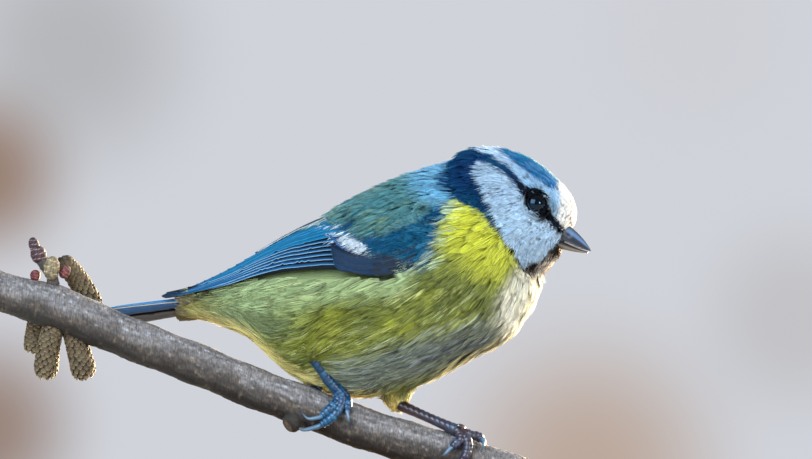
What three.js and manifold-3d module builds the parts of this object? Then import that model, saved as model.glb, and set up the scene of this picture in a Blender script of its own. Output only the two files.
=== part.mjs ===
// A life-size blue tit perched on a cut length of hazel twig with catkins, on a small rod stand.
// Millimetres, +Z up. The origin is the middle of the base's underside. The bird faces +X and a
// little towards -Y, and its right side is the one towards -Y.
import * as THREE from "three";
import Module from "manifold-3d";
import { mergeVertices } from "three/addons/utils/BufferGeometryUtils.js";

const wasm = await Module();
wasm.setup();

const GAP = 0.3; // between nodes that touch
const LEFT = 1;
const RIGHT = -1;
const SIDES = [LEFT, RIGHT];
const SAME_POINT = 1e-4; // points closer than this are one

// How the bird stands: the middle of its body, its turn towards -Y, and its lean on the sloping twig
const BODY_PLACE = new THREE.Vector3(12, 3, 58.3);
const BODY_YAW = -18;
const BODY_ROLL = -9;

// Torso and neck from the tail's root to inside the head: x, z of the section's middle, the lean of the
// section, and half its depth and width
const TORSO = [
  [-50.6, -4.9, 9, 1.2, 2.8],
  [-44.6, -4.4, 3, 2.1, 4.8],
  [-38.9, -4.4, 0, 4.1, 7.4],
  [-32.7, -4.1, 0, 6.8, 10.6],
  [-26.1, -4.4, 0, 11.8, 14.2],
  [-19.2, -4.5, 1, 17.0, 17.0],
  [-12.4, -2.9, 3, 20.6, 19.0],
  [-4.2, -0.9, 5, 22.6, 20.2],
  [4.0, 2.2, 9, 22.7, 20.0],
  [11.5, 5.7, 15, 21.5, 18.6],
  [17.3, 8.3, 23, 20.9, 16.4],
  [21.3, 11.7, 30, 18.6, 14.0],
  [24.1, 14.3, 34, 16.0, 11.6],
];
const TORSO_SQUARENESS = 2.15;
const TORSO_RINGS = 22;
const TORSO_SIDES = 26;

// Head: its middle in the body, how far the bill points down and turns back, and the outline's
// radius every 30 degrees from the bill over the crown and round by the throat
const HEAD_PLACE = new THREE.Vector3(25.2, 0, 16.5);
const HEAD_PITCH = 21;
const HEAD_YAW = 8;
const HEAD_OUTLINE = [14.6, 14.9, 13.2, 13.3, 14.9, 17.6, 18.1, 16.5, 15.6, 16.4, 17.2, 15.0];
const HEAD_HALF_WIDTH = 11.8;
const HEAD_RADIUS = 14.7; // its mean over the outline, for the way the eyes look
const HEAD_RINGS = 12;
const HEAD_SIDES = 28;
const HEAD_LAST_RING = 77; // degrees off the head's middle plane
// The face narrows by a share of its width between two places along the head
const FACE_TAPER = { share: 0.24, from: 5, to: 15 };

// Where the neck is parted from the head and from the torso: a slanting plane's normal and offsets
const COLLAR_NORMAL = [0.809, 0, 0.588];
const HEAD_FROM = 26.2;
const TORSO_TO = 19.4;

const EYE = { x: 6.8, z: 3.9, radius: 2.5, sight: 2.0, lid: 0.36 };

// Bill in the head: x, upper line, mouth line, lower line, half width
const BILL = [
  [9.5, 3.4, -0.5, -3.0, 2.9],
  [13.2, 2.85, -0.85, -2.6, 2.35],
  [15.6, 2.05, -0.95, -2.2, 1.75],
  [17.6, 1.15, -0.9, -1.75, 1.05],
  [19.1, 0.25, -0.75, -1.3, 0.45],
];
const BILL_TIPS = { upper: [19.9, -0.45], lower: [19.4, -0.9] };
const BILL_SIDES = 12;
const LOWER_BILL_WIDTH = 0.86; // as a share of the upper one's
const NOSTRIL = { x: 13.9, y: 1.55, z: 0.75, radius: 0.42, stretch: 1.7 };

// The surface that a folded wing lies on: x, z of the middle, half width, half height, and how thick
// the wing's own body is there
const WING_BED = [
  [-54, -2.8, 3.0, 1.5, 0.5],
  [-45, -2.3, 5.3, 2.9, 0.6],
  [-35, -1.6, 8.8, 6.4, 0.8],
  [-25, -0.8, 12.4, 10.8, 1.1],
  [-15, 0.5, 15.4, 14.0, 1.5],
  [-5, 2.0, 16.9, 16.3, 1.9],
  [5, 3.5, 16.8, 16.3, 2.1],
  [19, 6.2, 13.4, 15.0, 2.0],
];
// The folded wing's outline on that surface: x, lower and upper edge as angles above its widest line
const WING_OUTLINE = [
  [-54, 6, 40],
  [-50, 3, 50],
  [-43, 8, 52],
  [-36, 9, 56],
  [-29, 10, 64],
  [-22, 8, 68],
  [-17.6, 5, 67],
  [-14, 3, 55],
  [-10.2, 1, 40],
  [-4.5, -3, 23],
  [0, -7, 25],
  [5.6, -9, 29],
  [9.7, -8, 33],
  [13.0, -3, 35],
  [15.0, 8, 26],
];
// A wing feather's outline: how far along it, and its share of the full width
const VANE_SHAPE = [
  [0, 0.6],
  [0.4, 1],
  [0.7, 0.95],
  [0.9, 0.7],
];
const VANE_RING_SPACING = 9;
const VANE_LAST_RING = 0.9; // as a share of the feather's length, before its tip
// Its section: how far up from its middle as a share of half its width, and the height over the wing's
// body. Its lower edge stands up over the next feather down.
const VANE_SECTION = [
  [1, 0.02],
  [0, 0.14],
  [-1, 0.45],
  [-1, -0.2],
  [1, -0.2],
];
// Each row of the wing: how many feathers, the root and tip of the first and of the last as x and share
// of the way from the wing's lower edge to its upper, half their width, and the row's own height
const WING_ROWS = {
  primaries: [7, [-4, 0.12], [-52.2, 0.25], [-7, 0.5], [-41, 0.9], 1.1, 0],
  secondaries: [3, [-7, 0.6], [-38, 0.92], [-10, 0.82], [-33, 0.95], 1.5, 0.03],
  tertials: [3, [-9, 0.86], [-30.5, 0.93], [-13, 0.94], [-22.5, 0.93], 2.1, 0.3],
  primaryCoverts: [4, [5, 0.1], [-8, 0.16], [3, 0.42], [-8.5, 0.42], 1.5, 0.3],
  greaterCoverts: [5, [5, 0.54], [-4, 0.54], [-5, 0.88], [-15.5, 0.88], 1.9, 0.35],
  medianCoverts: [4, [10, 0.3], [0.5, 0.32], [1, 0.82], [-7, 0.82], 1.9, 0.7],
  lesserCoverts: [3, [14, 0.2], [6, 0.16], [9, 0.8], [2.5, 0.8], 2.4, 0.95],
};

// The wing's own body under its feathers, and the room for the wing in the torso: from and to along the
// wing, how far they reach past its outline, and their rings
const WING_CORE = { from: 14.4, to: -50, grow: -0.4, rings: 14 };
const WING_ROOM = { from: 15.5, to: -54, grow: 2 * GAP, rings: 19, height: 9 };
const WING_ACROSS = 5; // points across the wing's body

// Tail: root, tip and twist in the body
const TAIL_ROOT = new THREE.Vector3(-35.5, 0, -1.6);
const TAIL_TIP = new THREE.Vector3(-69.4, 0, -6.0);
const TAIL_TWIST = -13;
// Its feathers in pairs, the middle pair on top: the height of the top one and the step down to the next,
// how far apart they lie at root and tip, and how much shorter they get away from the longest pair
const TAIL_PAIRS = 6;
const TAIL_TOP = 0.95;
const TAIL_STEP = 0.34;
const TAIL_SPREAD = { first: 0.35, root: 0.3, tip: 0.56 };
const TAIL_NOTCH = { longest: 3, depth: 0.35, power: 1.3 };
// A tail feather's outline, as how far along it and half its width, its thickness and its camber
const TAIL_VANE = [
  [0, 0.8],
  [0.35, 1.5],
  [0.75, 2.1],
  [0.94, 1.7],
];
const VANE_THICKNESS = 0.5;
const VANE_CAMBER = 0.08;
// The block that the tail feathers grow from, and the room for it in the torso, along and across the tail
const TAIL_BLOCK = { from: -1, to: 9, middle: 2, reach: 8, width: 3.4, height: 1.5, rings: 6, sides: 10 };
const TAIL_ROOM = { from: -1.4, to: 16, width: 4.9, height: 2.1, drop: 0.1, rings: 6, sides: 12 };

// Twig: the middle line as x, z, and its radius
const TWIG_LINE = [
  [-76, 58.6, 4.3],
  [-63, 54.6, 4.5],
  [-52.2, 50.4, 4.55],
  [-43.5, 46.9, 4.5],
  [-30.4, 41.8, 4.45],
  [-19.6, 37.3, 4.4],
  [-8.7, 33.3, 4.4],
  [2.2, 29.2, 4.5],
  [10.9, 26.3, 4.5],
  [26.1, 21.9, 4.5],
  [41.5, 16.6, 4.4],
];
const TWIG_STEP = 1; // to either side of where its slope is taken
const TWIG_RINGS = 21;
const TWIG_SIDES = 14;
const TWIG_KNOT = { x: -61, length: 4, height: 0.7 }; // the swelling under the spur
const TWIG_WAVES = { height: 0.12, pitch: 0.55 };
// The cut stub of a side shoot: places as x, angle round the twig and way out, and its radii
const STUB = {
  path: [[-6.5, 150, 0], [-8, 150, 3], [-9.6, 150, 6]],
  radii: [2.6, 2.5, 2.4, 2.0],
  sides: 10,
};

// The short shoot above the twig: two places round the twig, its tip, and its radii
const SHOOT = {
  path: [[-63.6, 0, 2], [-64.4, 0, 6]],
  tip: [-65.3, 0, 65.6],
  radii: [1.7, 1.4, 1.2, 1.3, 1.4],
  sides: 8,
};
// The spur's buds: middle, half width, half height and lean
const BUDS = [
  [-65.5, 0, 65.9, 1.75, 2.0, -20],
  [-66.5, 0, 68.0, 1.15, 1.7, -15],
  [-62.6, -1.6, 63.0, 1.75, 2.55, 5],
  [-59.8, -0.4, 62.2, 1.15, 1.5, 30],
  [-66.2, -0.6, 61.4, 1.15, 1.2, 0],
];
// Catkins: root, a point between, tip and radius
const CATKINS = {
  perch_catkin_1: [[-65.4, 3.4, 53.6], [-66.2, 4.4, 49], [-66.5, 4.4, 44.8], 2.45],
  perch_catkin_2: [[-61.9, 0.2, 52], [-63.3, -0.2, 46], [-64.1, -0.2, 39.3], 2.75],
  perch_catkin_3: [[-58.2, 1.2, 50], [-56.8, 1.2, 45], [-55.4, 1.2, 39.2], 2.8],
  perch_catkin_4: [[-60.6, 3.6, 64.6], [-57.4, 4.6, 61], [-53, 4.8, 53.6], 2.5],
};

const CATKIN_ROWS = 13;
const CATKIN_SIDES = 8;
const CATKIN_SCALE = 0.16; // how far a scale stands out
// A catkin is slimmer at its root and rounds off over the last part of its length
const CATKIN_SLIMNESS = 0.82;
const CATKIN_ROUNDING = { from: 0.8, length: 0.21, least: 0.1 };

// Each leg in the stand's frame: three points down the feathered thigh, its radii, where the bare shank
// starts, the ball of the foot, and three points of each toe and of its claw, as x, angle round the twig
// and way out
const LEGS = {
  right: {
    thigh: [[2, -8, 54], [-2.6, -9.4, 49.4], [-6.3, -7.6, 44.2]],
    thighRadii: [3.4, 4.7, 4.3, 3.2, 1.7],
    heel: [-6.9, -7.7, 45],
    ball: [-2.3, -5.1, 38.4],
    toes: [
      [[-4.4, -4, 6.5], [-6.2, -24, 5.8], [-8.2, -44, 5.4]],
      [[-1.9, 42, 6.2], [-2.6, 72, 5.8], [-3.7, 95, 5.5]],
      [[-1.1, 44, 6.3], [-1.4, 84, 5.8], [-3.2, 116, 5.5]],
      [[-0.9, 30, 6.3], [0.1, 46, 5.8], [0.8, 64, 5.4]],
    ],
    claws: [
      [[-8.6, -50, 5.6], [-9.9, -66, 5.8], [-10.6, -80, 4.95]],
      [[-4.3, 101, 5.8], [-6.2, 110, 6.1], [-8.0, 104, 4.95]],
      [[-4.3, 126, 5.8], [-6.4, 142, 6.1], [-8.3, 146, 4.95]],
      [[0.9, 68, 5.7], [1.6, 82, 5.7], [2.2, 94, 4.95]],
    ],
  },
  left: {
    thigh: [[8.8, 7.5, 43], [11.6, 5.6, 37.5], [12.7, 3.5, 32.1]],
    thighRadii: [3.4, 4.2, 4.3, 3.5, 1.5],
    heel: [12.8, 3.4, 33.3],
    ball: [25.6, -2.9, 27.7],
    toes: [
      [[24.6, 6, 5.9], [23.2, -22, 5.8], [22, -46, 5.4]],
      [[25.2, 48, 5.9], [24.5, 62, 5.7], [23.9, 74, 5.4]],
      [[26.5, 50, 6.0], [27.1, 78, 5.8], [26.6, 104, 5.5]],
      [[27, 26, 5.9], [28.2, 18, 5.8], [29.2, 24, 5.5]],
    ],
    claws: [
      [[21.6, -52, 5.6], [20.6, -70, 5.8], [20, -84, 4.95]],
      [[23.6, 78, 5.7], [22.9, 92, 5.7], [22.2, 102, 4.95]],
      [[26.2, 112, 5.8], [25.2, 132, 6.1], [24, 144, 4.95]],
      [[29.5, 28, 5.8], [29.9, 46, 6.0], [29.8, 62, 4.95]],
    ],
  },
};
const SHANK_RADII = [1.2, 1.0, 0.95, 1.0, 1.15];
const BALL_RADIUS = 1.3;
const TOE_RADII = [1.0, 0.86, 0.95, 0.8, 0.88, 0.74];
const CLAW_RADII = [0.56, 0.52, 0.42, 0.28, 0.1];
const SHANK_FLATNESS = 0.85;
const LEG_SIDES = { thigh: 12, shank: 10, toe: 7, claw: 6 };

const BASE = { length: 104, width: 62, height: 6, corner: 14, bevel: 1.2 };
const BASE_BEVEL_STEPS = 2;
const BASE_CORNER_STEPS = 5;
const ROD = { x: 13, radius: 2.2, foot: 4.2, footEdge: 1, footHeight: 1.6, lip: 0.3, sides: 20 };
// Steps round and from pole to pole of an eyeball, and of buds, nostrils and foot pads
const EYE_STEPS = [16, 10];
const SMALL_STEPS = [8, 6];
const LID_STEPS = [5, 16];

const MATERIALS = {
  yellow: new THREE.MeshStandardMaterial({ color: 0xb9bf3f, roughness: 0.85 }),
  nape: new THREE.MeshStandardMaterial({ color: 0x1f4f86, roughness: 0.8 }),
  face: new THREE.MeshStandardMaterial({ color: 0xb9cfe8, roughness: 0.8 }),
  wing: new THREE.MeshStandardMaterial({ color: 0x1f6ea5, roughness: 0.6 }),
  tail: new THREE.MeshStandardMaterial({ color: 0x2f77c0, roughness: 0.6 }),
  bill: new THREE.MeshStandardMaterial({ color: 0x3d4450, roughness: 0.4 }),
  eye: new THREE.MeshStandardMaterial({ color: 0x0b0809, roughness: 0.05 }),
  foot: new THREE.MeshStandardMaterial({ color: 0x2f6fa8, roughness: 0.5 }),
  claw: new THREE.MeshStandardMaterial({ color: 0x6f8296, roughness: 0.35 }),
  bark: new THREE.MeshStandardMaterial({ color: 0x5b524f, roughness: 0.9 }),
  catkin: new THREE.MeshStandardMaterial({ color: 0x7c6544, roughness: 0.95 }),
  stand: new THREE.MeshStandardMaterial({ color: 0x3a2518, roughness: 0.45 }),
  brass: new THREE.MeshStandardMaterial({ color: 0xa88748, roughness: 0.3, metalness: 1 }),
};

const radians = THREE.MathUtils.degToRad;
const degrees = THREE.MathUtils.radToDeg;
const mix = THREE.MathUtils.lerp;

// Numbers at key, read smoothly from a table of rows whose first column rises
function read(table, key) {
  const last = table.length - 1;
  let i = table.findIndex((row) => row[0] > key) - 1;
  if (i < 0) i = key < table[0][0] ? 0 : last - 1;
  const span = table[i + 1][0] - table[i][0];
  const t = THREE.MathUtils.clamp((key - table[i][0]) / span, 0, 1);
  const slope = (j, column) => {
    const a = table[Math.max(j - 1, 0)];
    const b = table[Math.min(j + 1, last)];
    return ((b[column] - a[column]) / (b[0] - a[0])) * span;
  };
  return table[i].slice(1).map((value, c) => {
    const column = c + 1;
    const next = table[i + 1][column];
    const t2 = t * t;
    const t3 = t2 * t;
    return (
      value * (2 * t3 - 3 * t2 + 1) +
      slope(i, column) * (t3 - 2 * t2 + t) +
      next * (3 * t2 - 2 * t3) +
      slope(i + 1, column) * (t3 - t2)
    );
  });
}

// A table's rows with their number in front, to read it by that
const numbered = (rows) => rows.map((row, i) => [i, ...row]);

// Evenly spread numbers from a to b, both ends in
const steps = (a, b, count) => Array.from({ length: count }, (_, i) => mix(a, b, i / (count - 1)));

// Angles in radians, evenly round a ring
const around = (count) => steps(0, 2 * Math.PI, count + 1).slice(1);

// A closed surface through rings of points with a point or a flat fan at each end. The diagonals of
// the second half of each ring mirror the first half's, so that a thin blade's faces never cross.
function skin(rings, first, last) {
  const n = rings[0].length;
  const points = rings.flat();
  const middle = (ring) => ring.reduce((sum, p) => sum.add(p), new THREE.Vector3()).divideScalar(n);
  const start = points.push(first ?? middle(rings[0])) - 1;
  const end = points.push(last ?? middle(rings.at(-1))) - 1;
  const faces = [];
  for (let i = 0; i + 1 < rings.length; i++)
    for (let j = 0; j < n; j++) {
      const k = (j + 1) % n;
      const [a, b, c, d] = [i * n + j, i * n + k, (i + 1) * n + j, (i + 1) * n + k];
      if (j < n / 2) faces.push(a, b, d, a, d, c);
      else faces.push(a, b, c, b, d, c);
    }
  const top = (rings.length - 1) * n;
  for (let j = 0; j < n; j++) {
    const k = (j + 1) % n;
    faces.push(start, k, j, end, top + j, top + k);
  }
  const geometry = new THREE.BufferGeometry().setFromPoints(points);
  geometry.setIndex(faces);
  return geometry;
}

// A closed geometry as a solid, turned inside out if its faces point inwards
function solid(geometry, matrix = new THREE.Matrix4()) {
  const bare = geometry.clone().applyMatrix4(matrix);
  bare.deleteAttribute("normal");
  bare.deleteAttribute("uv");
  const merged = mergeVertices(bare, SAME_POINT);
  const triVerts = new Uint32Array(merged.index.array);
  const build = () =>
    new wasm.Manifold(
      new wasm.Mesh({ numProp: 3, vertProperties: merged.attributes.position.array, triVerts }),
    );
  const made = build();
  if (made.volume() > 0) return made;
  triVerts.reverse();
  return build();
}

const join = (solids) => wasm.Manifold.union(solids);
const moved = (shape, matrix) => shape.transform(matrix.elements);

// The largest closed surface of a solid
function largest(shape) {
  return shape.decompose().reduce((a, b) => (a.volume() > b.volume() ? a : b));
}

// A named node of a solid's largest closed surface
function mesh(name, shape, material) {
  const { numProp, vertProperties, triVerts } = largest(shape).getMesh();
  const geometry = new THREE.BufferGeometry();
  const points = new Float32Array((vertProperties.length / numProp) * 3);
  for (let i = 0; i * 3 < points.length; i++)
    points.set(vertProperties.subarray(i * numProp, i * numProp + 3), i * 3);
  geometry.setAttribute("position", new THREE.BufferAttribute(points, 3));
  geometry.setIndex(new THREE.BufferAttribute(triVerts, 1));
  geometry.computeVertexNormals();
  const made = new THREE.Mesh(geometry, material);
  made.name = name;
  return made;
}

// A tube with flat ends along points, of changing radius and flattened by a share
function tube(path, radii, sides, flatness = 1) {
  const curve = new THREE.CatmullRomCurve3(path);
  const count = radii.length;
  const frames = curve.computeFrenetFrames(count - 1);
  const rings = radii.map((radius, i) => {
    const centre = curve.getPoint(i / (count - 1));
    return around(sides).map((a) =>
      centre
        .clone()
        .addScaledVector(frames.normals[i], radius * Math.cos(a))
        .addScaledVector(frames.binormals[i], radius * flatness * Math.sin(a)),
    );
  });
  return solid(skin(rings));
}

// Torso and neck, grown by a little where it cuts a neighbour
function torsoSolid(grow = 0) {
  const rows = numbered(TORSO);
  const power = 2 / TORSO_SQUARENESS;
  const round = (v) => Math.sign(v) * Math.abs(v) ** power;
  const rings = steps(0, TORSO.length - 1, TORSO_RINGS).map((key) => {
    const [x, z, lean, depth, width] = read(rows, key);
    const up = new THREE.Vector3(-Math.sin(radians(lean)), 0, Math.cos(radians(lean)));
    return around(TORSO_SIDES).map((a) =>
      new THREE.Vector3(x, (width + grow) * round(Math.cos(a)), z).addScaledVector(
        up,
        (depth + grow) * round(Math.sin(a)),
      ),
    );
  });
  return solid(skin(rings));
}

// The head's place and turn in the bird
const headMatrix = new THREE.Matrix4()
  .makeTranslation(HEAD_PLACE)
  .multiply(new THREE.Matrix4().makeRotationZ(radians(HEAD_YAW)))
  .multiply(new THREE.Matrix4().makeRotationY(radians(HEAD_PITCH)));

// A point of the head's surface: round is the angle from the bill over the crown, side the way out
function headPoint(round, side, grow) {
  const turn = THREE.MathUtils.euclideanModulo(round, 360);
  const step = 360 / HEAD_OUTLINE.length;
  const closed = [HEAD_OUTLINE.at(-1), ...HEAD_OUTLINE, HEAD_OUTLINE[0], HEAD_OUTLINE[1]];
  const outline = closed.map((radius, i) => [(i - 1) * step, radius]);
  const radius = (read(outline, turn)[0] + grow) * Math.cos(radians(side));
  const x = radius * Math.cos(radians(turn));
  const taper = 1 - FACE_TAPER.share * THREE.MathUtils.smoothstep(x, FACE_TAPER.from, FACE_TAPER.to);
  const y = (HEAD_HALF_WIDTH + grow) * Math.sin(radians(side)) * taper;
  return new THREE.Vector3(x, y, radius * Math.sin(radians(turn)));
}

// Head, grown by a little where it cuts a neighbour
function headSolid(grow = 0) {
  const rings = steps(-HEAD_LAST_RING, HEAD_LAST_RING, HEAD_RINGS).map((side) =>
    around(HEAD_SIDES).map((round) => headPoint(degrees(round), side, grow)),
  );
  return solid(skin(rings, headPoint(0, -90, grow), headPoint(0, 90, grow)), headMatrix);
}

// Where an eye sits on the head, and the way it looks
function eyeSeat(side) {
  const round = degrees(Math.atan2(EYE.z, EYE.x));
  const reach = Math.hypot(EYE.x, EYE.z);
  const outward = degrees(Math.acos(reach / headPoint(round, 0, 0).length()));
  const seat = headPoint(round, outward * side, 0);
  const round2 = HEAD_RADIUS ** 2;
  const gaze = new THREE.Vector3(seat.x / round2, seat.y / HEAD_HALF_WIDTH ** 2, seat.z / round2);
  gaze.normalize();
  return { seat, gaze };
}

// An eyeball, sunk so that only its sight shows, grown by a little where it cuts the head
function eyeball(side, grow = 0) {
  const { seat, gaze } = eyeSeat(side);
  const sunk = Math.sqrt(EYE.radius ** 2 - EYE.sight ** 2);
  const centre = seat.clone().addScaledVector(gaze, -sunk);
  const place = new THREE.Matrix4().makeTranslation(centre);
  const ball = new THREE.SphereGeometry(EYE.radius + grow, ...EYE_STEPS);
  return solid(ball, headMatrix.clone().multiply(place));
}

// The ring of lid round an eye
function lid(side) {
  const { seat, gaze } = eyeSeat(side);
  const turn = new THREE.Quaternion().setFromUnitVectors(new THREE.Vector3(0, 0, 1), gaze);
  const place = new THREE.Matrix4().compose(seat, turn, new THREE.Vector3(1, 1, 1));
  const ring = new THREE.TorusGeometry(EYE.sight + EYE.lid, EYE.lid, ...LID_STEPS);
  return solid(ring, headMatrix.clone().multiply(place));
}

// One half of the bill: the upper one hangs over the lower one at the tip
function billHalf(upper) {
  const rings = BILL.map(([x, top, mouth, bottom, width]) => {
    const edge = upper ? mouth + GAP / 2 : mouth - GAP / 2;
    const far = upper ? top : bottom;
    const half = upper ? width : width * LOWER_BILL_WIDTH;
    return around(BILL_SIDES).map((a) => {
      const rise = Math.max(0, Math.sin(a));
      return new THREE.Vector3(x, half * Math.cos(a), mix(edge, far, rise));
    });
  });
  const [x, z] = upper ? BILL_TIPS.upper : BILL_TIPS.lower;
  return solid(skin(rings, undefined, new THREE.Vector3(x, 0, z)), headMatrix);
}

// The two nostrils, to be cut into the upper bill
function nostrils() {
  return join(
    SIDES.map((side) => {
      const place = new THREE.Matrix4().makeTranslation(NOSTRIL.x, NOSTRIL.y * side, NOSTRIL.z);
      place.scale(new THREE.Vector3(NOSTRIL.stretch, 1, 1));
      const pit = new THREE.SphereGeometry(NOSTRIL.radius, ...SMALL_STEPS);
      return solid(pit, headMatrix.clone().multiply(place));
    }),
  );
}

// A point of the folded wing: x along the body, angle above the bed's widest line, lift off the bed
function wingPoint(side, x, angle, lift) {
  const [middle, width, height] = read(WING_BED, x);
  const c = Math.cos(radians(angle));
  const s = Math.sin(radians(angle));
  const out = new THREE.Vector3(0, c / width, s / height).normalize();
  return new THREE.Vector3(
    x,
    side * (width * c + out.y * lift),
    middle + height * s + out.z * lift,
  );
}

// The wing's edges at x as angles, moved outwards by so many millimetres
function wingEdges(x, grow) {
  const [lower, upper] = read(WING_OUTLINE, x);
  const [, width, height] = read(WING_BED, x);
  const more = degrees(grow / Math.min(width, height));
  return [lower - more, upper + more];
}

// A slab on the wing's bed inside the wing's outline, from a lift to the height that high gives at x
function wingSlab(side, { from, to, grow, rings: count }, low, high) {
  const rings = steps(from, to, count).map((x) => {
    const angles = steps(...wingEdges(x, grow), WING_ACROSS);
    return [
      ...angles.map((a) => wingPoint(side, x, a, high(x))),
      ...angles.reverse().map((a) => wingPoint(side, x, a, low)),
    ];
  });
  return solid(skin(rings));
}

// How thick the wing's own body is at x
const wingThickness = (x) => read(WING_BED, x)[3];

// A feather of the folded wing from root to tip, each given as x and share of the way up the wing
function wingVane(side, root, tip, halfWidth, height) {
  const count = 2 + Math.round((root[0] - tip[0]) / VANE_RING_SPACING);
  const rings = steps(0, VANE_LAST_RING, count).map((t) => {
    const [share] = read(VANE_SHAPE, t);
    const x = mix(root[0], tip[0], t);
    const [lower, upper] = wingEdges(x, 0);
    const angle = mix(lower, upper, mix(root[1], tip[1], t));
    const [, width, tall] = read(WING_BED, x);
    const radius = Math.hypot(width * Math.sin(radians(angle)), tall * Math.cos(radians(angle)));
    const spread = degrees((halfWidth * share) / radius);
    return VANE_SECTION.map(([up, over]) => {
      const where = THREE.MathUtils.clamp(angle + spread * up, lower, upper);
      const raised = over > 0 ? over + height : over;
      return wingPoint(side, x, where, wingThickness(x) + raised);
    });
  });
  const [lower, upper] = wingEdges(tip[0], 0);
  const end = wingPoint(side, tip[0], mix(lower, upper, tip[1]), wingThickness(tip[0]) + height);
  return solid(skin(rings, undefined, end));
}

// A folded wing: its body and the rows of feathers on it
function wingSolid(side) {
  const core = wingSlab(side, WING_CORE, 0, wingThickness);
  const vanes = Object.values(WING_ROWS).flatMap(
    ([count, firstRoot, firstTip, lastRoot, lastTip, halfWidth, height]) =>
      steps(0, 1, count).map((t) => {
        const between = (a, b) => [mix(a[0], b[0], t), mix(a[1], b[1], t)];
        return wingVane(side, between(firstRoot, lastRoot), between(firstTip, lastTip), halfWidth, height);
      }),
  );
  return join([core, ...vanes]);
}

// A point of the tail: along its middle line, across it, and above its plane
function tailPoint(along, across, above) {
  const line = TAIL_TIP.clone().sub(TAIL_ROOT);
  const axis = line.clone().normalize();
  const twist = new THREE.Quaternion().setFromAxisAngle(axis, radians(-TAIL_TWIST));
  const wide = new THREE.Vector3(0, 1, 0).applyQuaternion(twist);
  const up = wide.clone().cross(axis).normalize();
  return TAIL_ROOT.clone()
    .addScaledVector(axis, along)
    .addScaledVector(wide, across)
    .addScaledVector(up, above);
}

// One tail feather of a pair; the left one of each pair lies half a step over the right one
function tailVane(side, pair) {
  const { longest, depth, power } = TAIL_NOTCH;
  const reach = TAIL_TIP.distanceTo(TAIL_ROOT) - depth * Math.abs(pair - longest) ** power;
  const above = TAIL_TOP - TAIL_STEP * (side === LEFT ? pair : pair + 0.5);
  const offset = (t) => side * (TAIL_SPREAD.first + pair * mix(TAIL_SPREAD.root, TAIL_SPREAD.tip, t));
  const rings = TAIL_VANE.map(([t, half]) => {
    const middle = offset(t);
    const along = reach * t;
    return [
      tailPoint(along, middle + half, above - VANE_CAMBER),
      tailPoint(along, middle, above + VANE_THICKNESS / 2),
      tailPoint(along, middle - half, above - VANE_CAMBER),
      tailPoint(along, middle, above - VANE_THICKNESS / 2),
    ];
  });
  return solid(skin(rings, undefined, tailPoint(reach, offset(1), above)));
}

// The closed tail with the block at its root
function tailSolid() {
  const pairs = steps(0, TAIL_PAIRS - 1, TAIL_PAIRS);
  return join([...pairs.flatMap((pair) => SIDES.map((side) => tailVane(side, pair))), tailRoot()]);
}

// The block that the tail feathers grow from
function tailRoot() {
  const { from, to, middle, reach, width, height, rings: count, sides } = TAIL_BLOCK;
  const rings = steps(from, to, count).map((along) => {
    const size = Math.sqrt(1 - ((along - middle) / reach) ** 2);
    return around(sides).map((a) =>
      tailPoint(along, width * size * Math.cos(a), height * size * Math.sin(a)),
    );
  });
  return solid(skin(rings));
}

// Room for the tail's roots in the torso
function tailRoom() {
  const { from, to, width, height, drop, rings: count, sides } = TAIL_ROOM;
  const rings = steps(from, to, count).map((along) =>
    around(sides).map((a) => tailPoint(along, width * Math.cos(a), height * Math.sin(a) - drop)),
  );
  return solid(skin(rings));
}

// A point round the twig: x along it, the angle from its top towards -Y, and the way out
function twigPoint(x, angle, out) {
  const [z] = read(TWIG_LINE, x);
  const [[behind], [ahead]] = [read(TWIG_LINE, x - TWIG_STEP), read(TWIG_LINE, x + TWIG_STEP)];
  const slope = Math.atan2(ahead - behind, 2 * TWIG_STEP);
  const up = new THREE.Vector3(-Math.sin(slope), 0, Math.cos(slope));
  return new THREE.Vector3(x, 0, z)
    .addScaledVector(up, out * Math.cos(radians(angle)))
    .add(new THREE.Vector3(0, -out * Math.sin(radians(angle)), 0));
}

// The twig with a swelling under its spur, a cut stub on its underside and sawn ends, grown by a little
// where it cuts a neighbour
function twigSolid(grow = 0) {
  const rings = steps(TWIG_LINE[0][0], TWIG_LINE.at(-1)[0], TWIG_RINGS).map((x) => {
    const [, radius] = read(TWIG_LINE, x);
    const swelling = TWIG_KNOT.height * Math.exp(-(((x - TWIG_KNOT.x) / TWIG_KNOT.length) ** 2));
    return around(TWIG_SIDES).map((a) => {
      const knuckle = swelling * Math.max(0, Math.cos(a));
      const uneven = TWIG_WAVES.height * Math.sin(x * TWIG_WAVES.pitch + 2 * a);
      return twigPoint(x, degrees(a), radius + knuckle + uneven + grow);
    });
  });
  const stubPath = STUB.path.map((row) => twigPoint(...row));
  const stub = tube(stubPath, STUB.radii.map((radius) => radius + grow), STUB.sides);
  return join([solid(skin(rings)), stub]);
}

// The short shoot above the twig that bears the catkins, and its buds
function spurSolid() {
  const path = [...SHOOT.path.map((row) => twigPoint(...row)), new THREE.Vector3(...SHOOT.tip)];
  const shoot = tube(path, SHOOT.radii, SHOOT.sides);
  const buds = BUDS.map(([x, y, z, wide, tall, lean]) => {
    const place = new THREE.Matrix4().makeTranslation(x, y, z);
    place.multiply(new THREE.Matrix4().makeRotationY(radians(lean)));
    place.scale(new THREE.Vector3(wide, wide, tall));
    return solid(new THREE.SphereGeometry(1, ...SMALL_STEPS), place);
  });
  return join([shoot, ...buds]);
}

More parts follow.
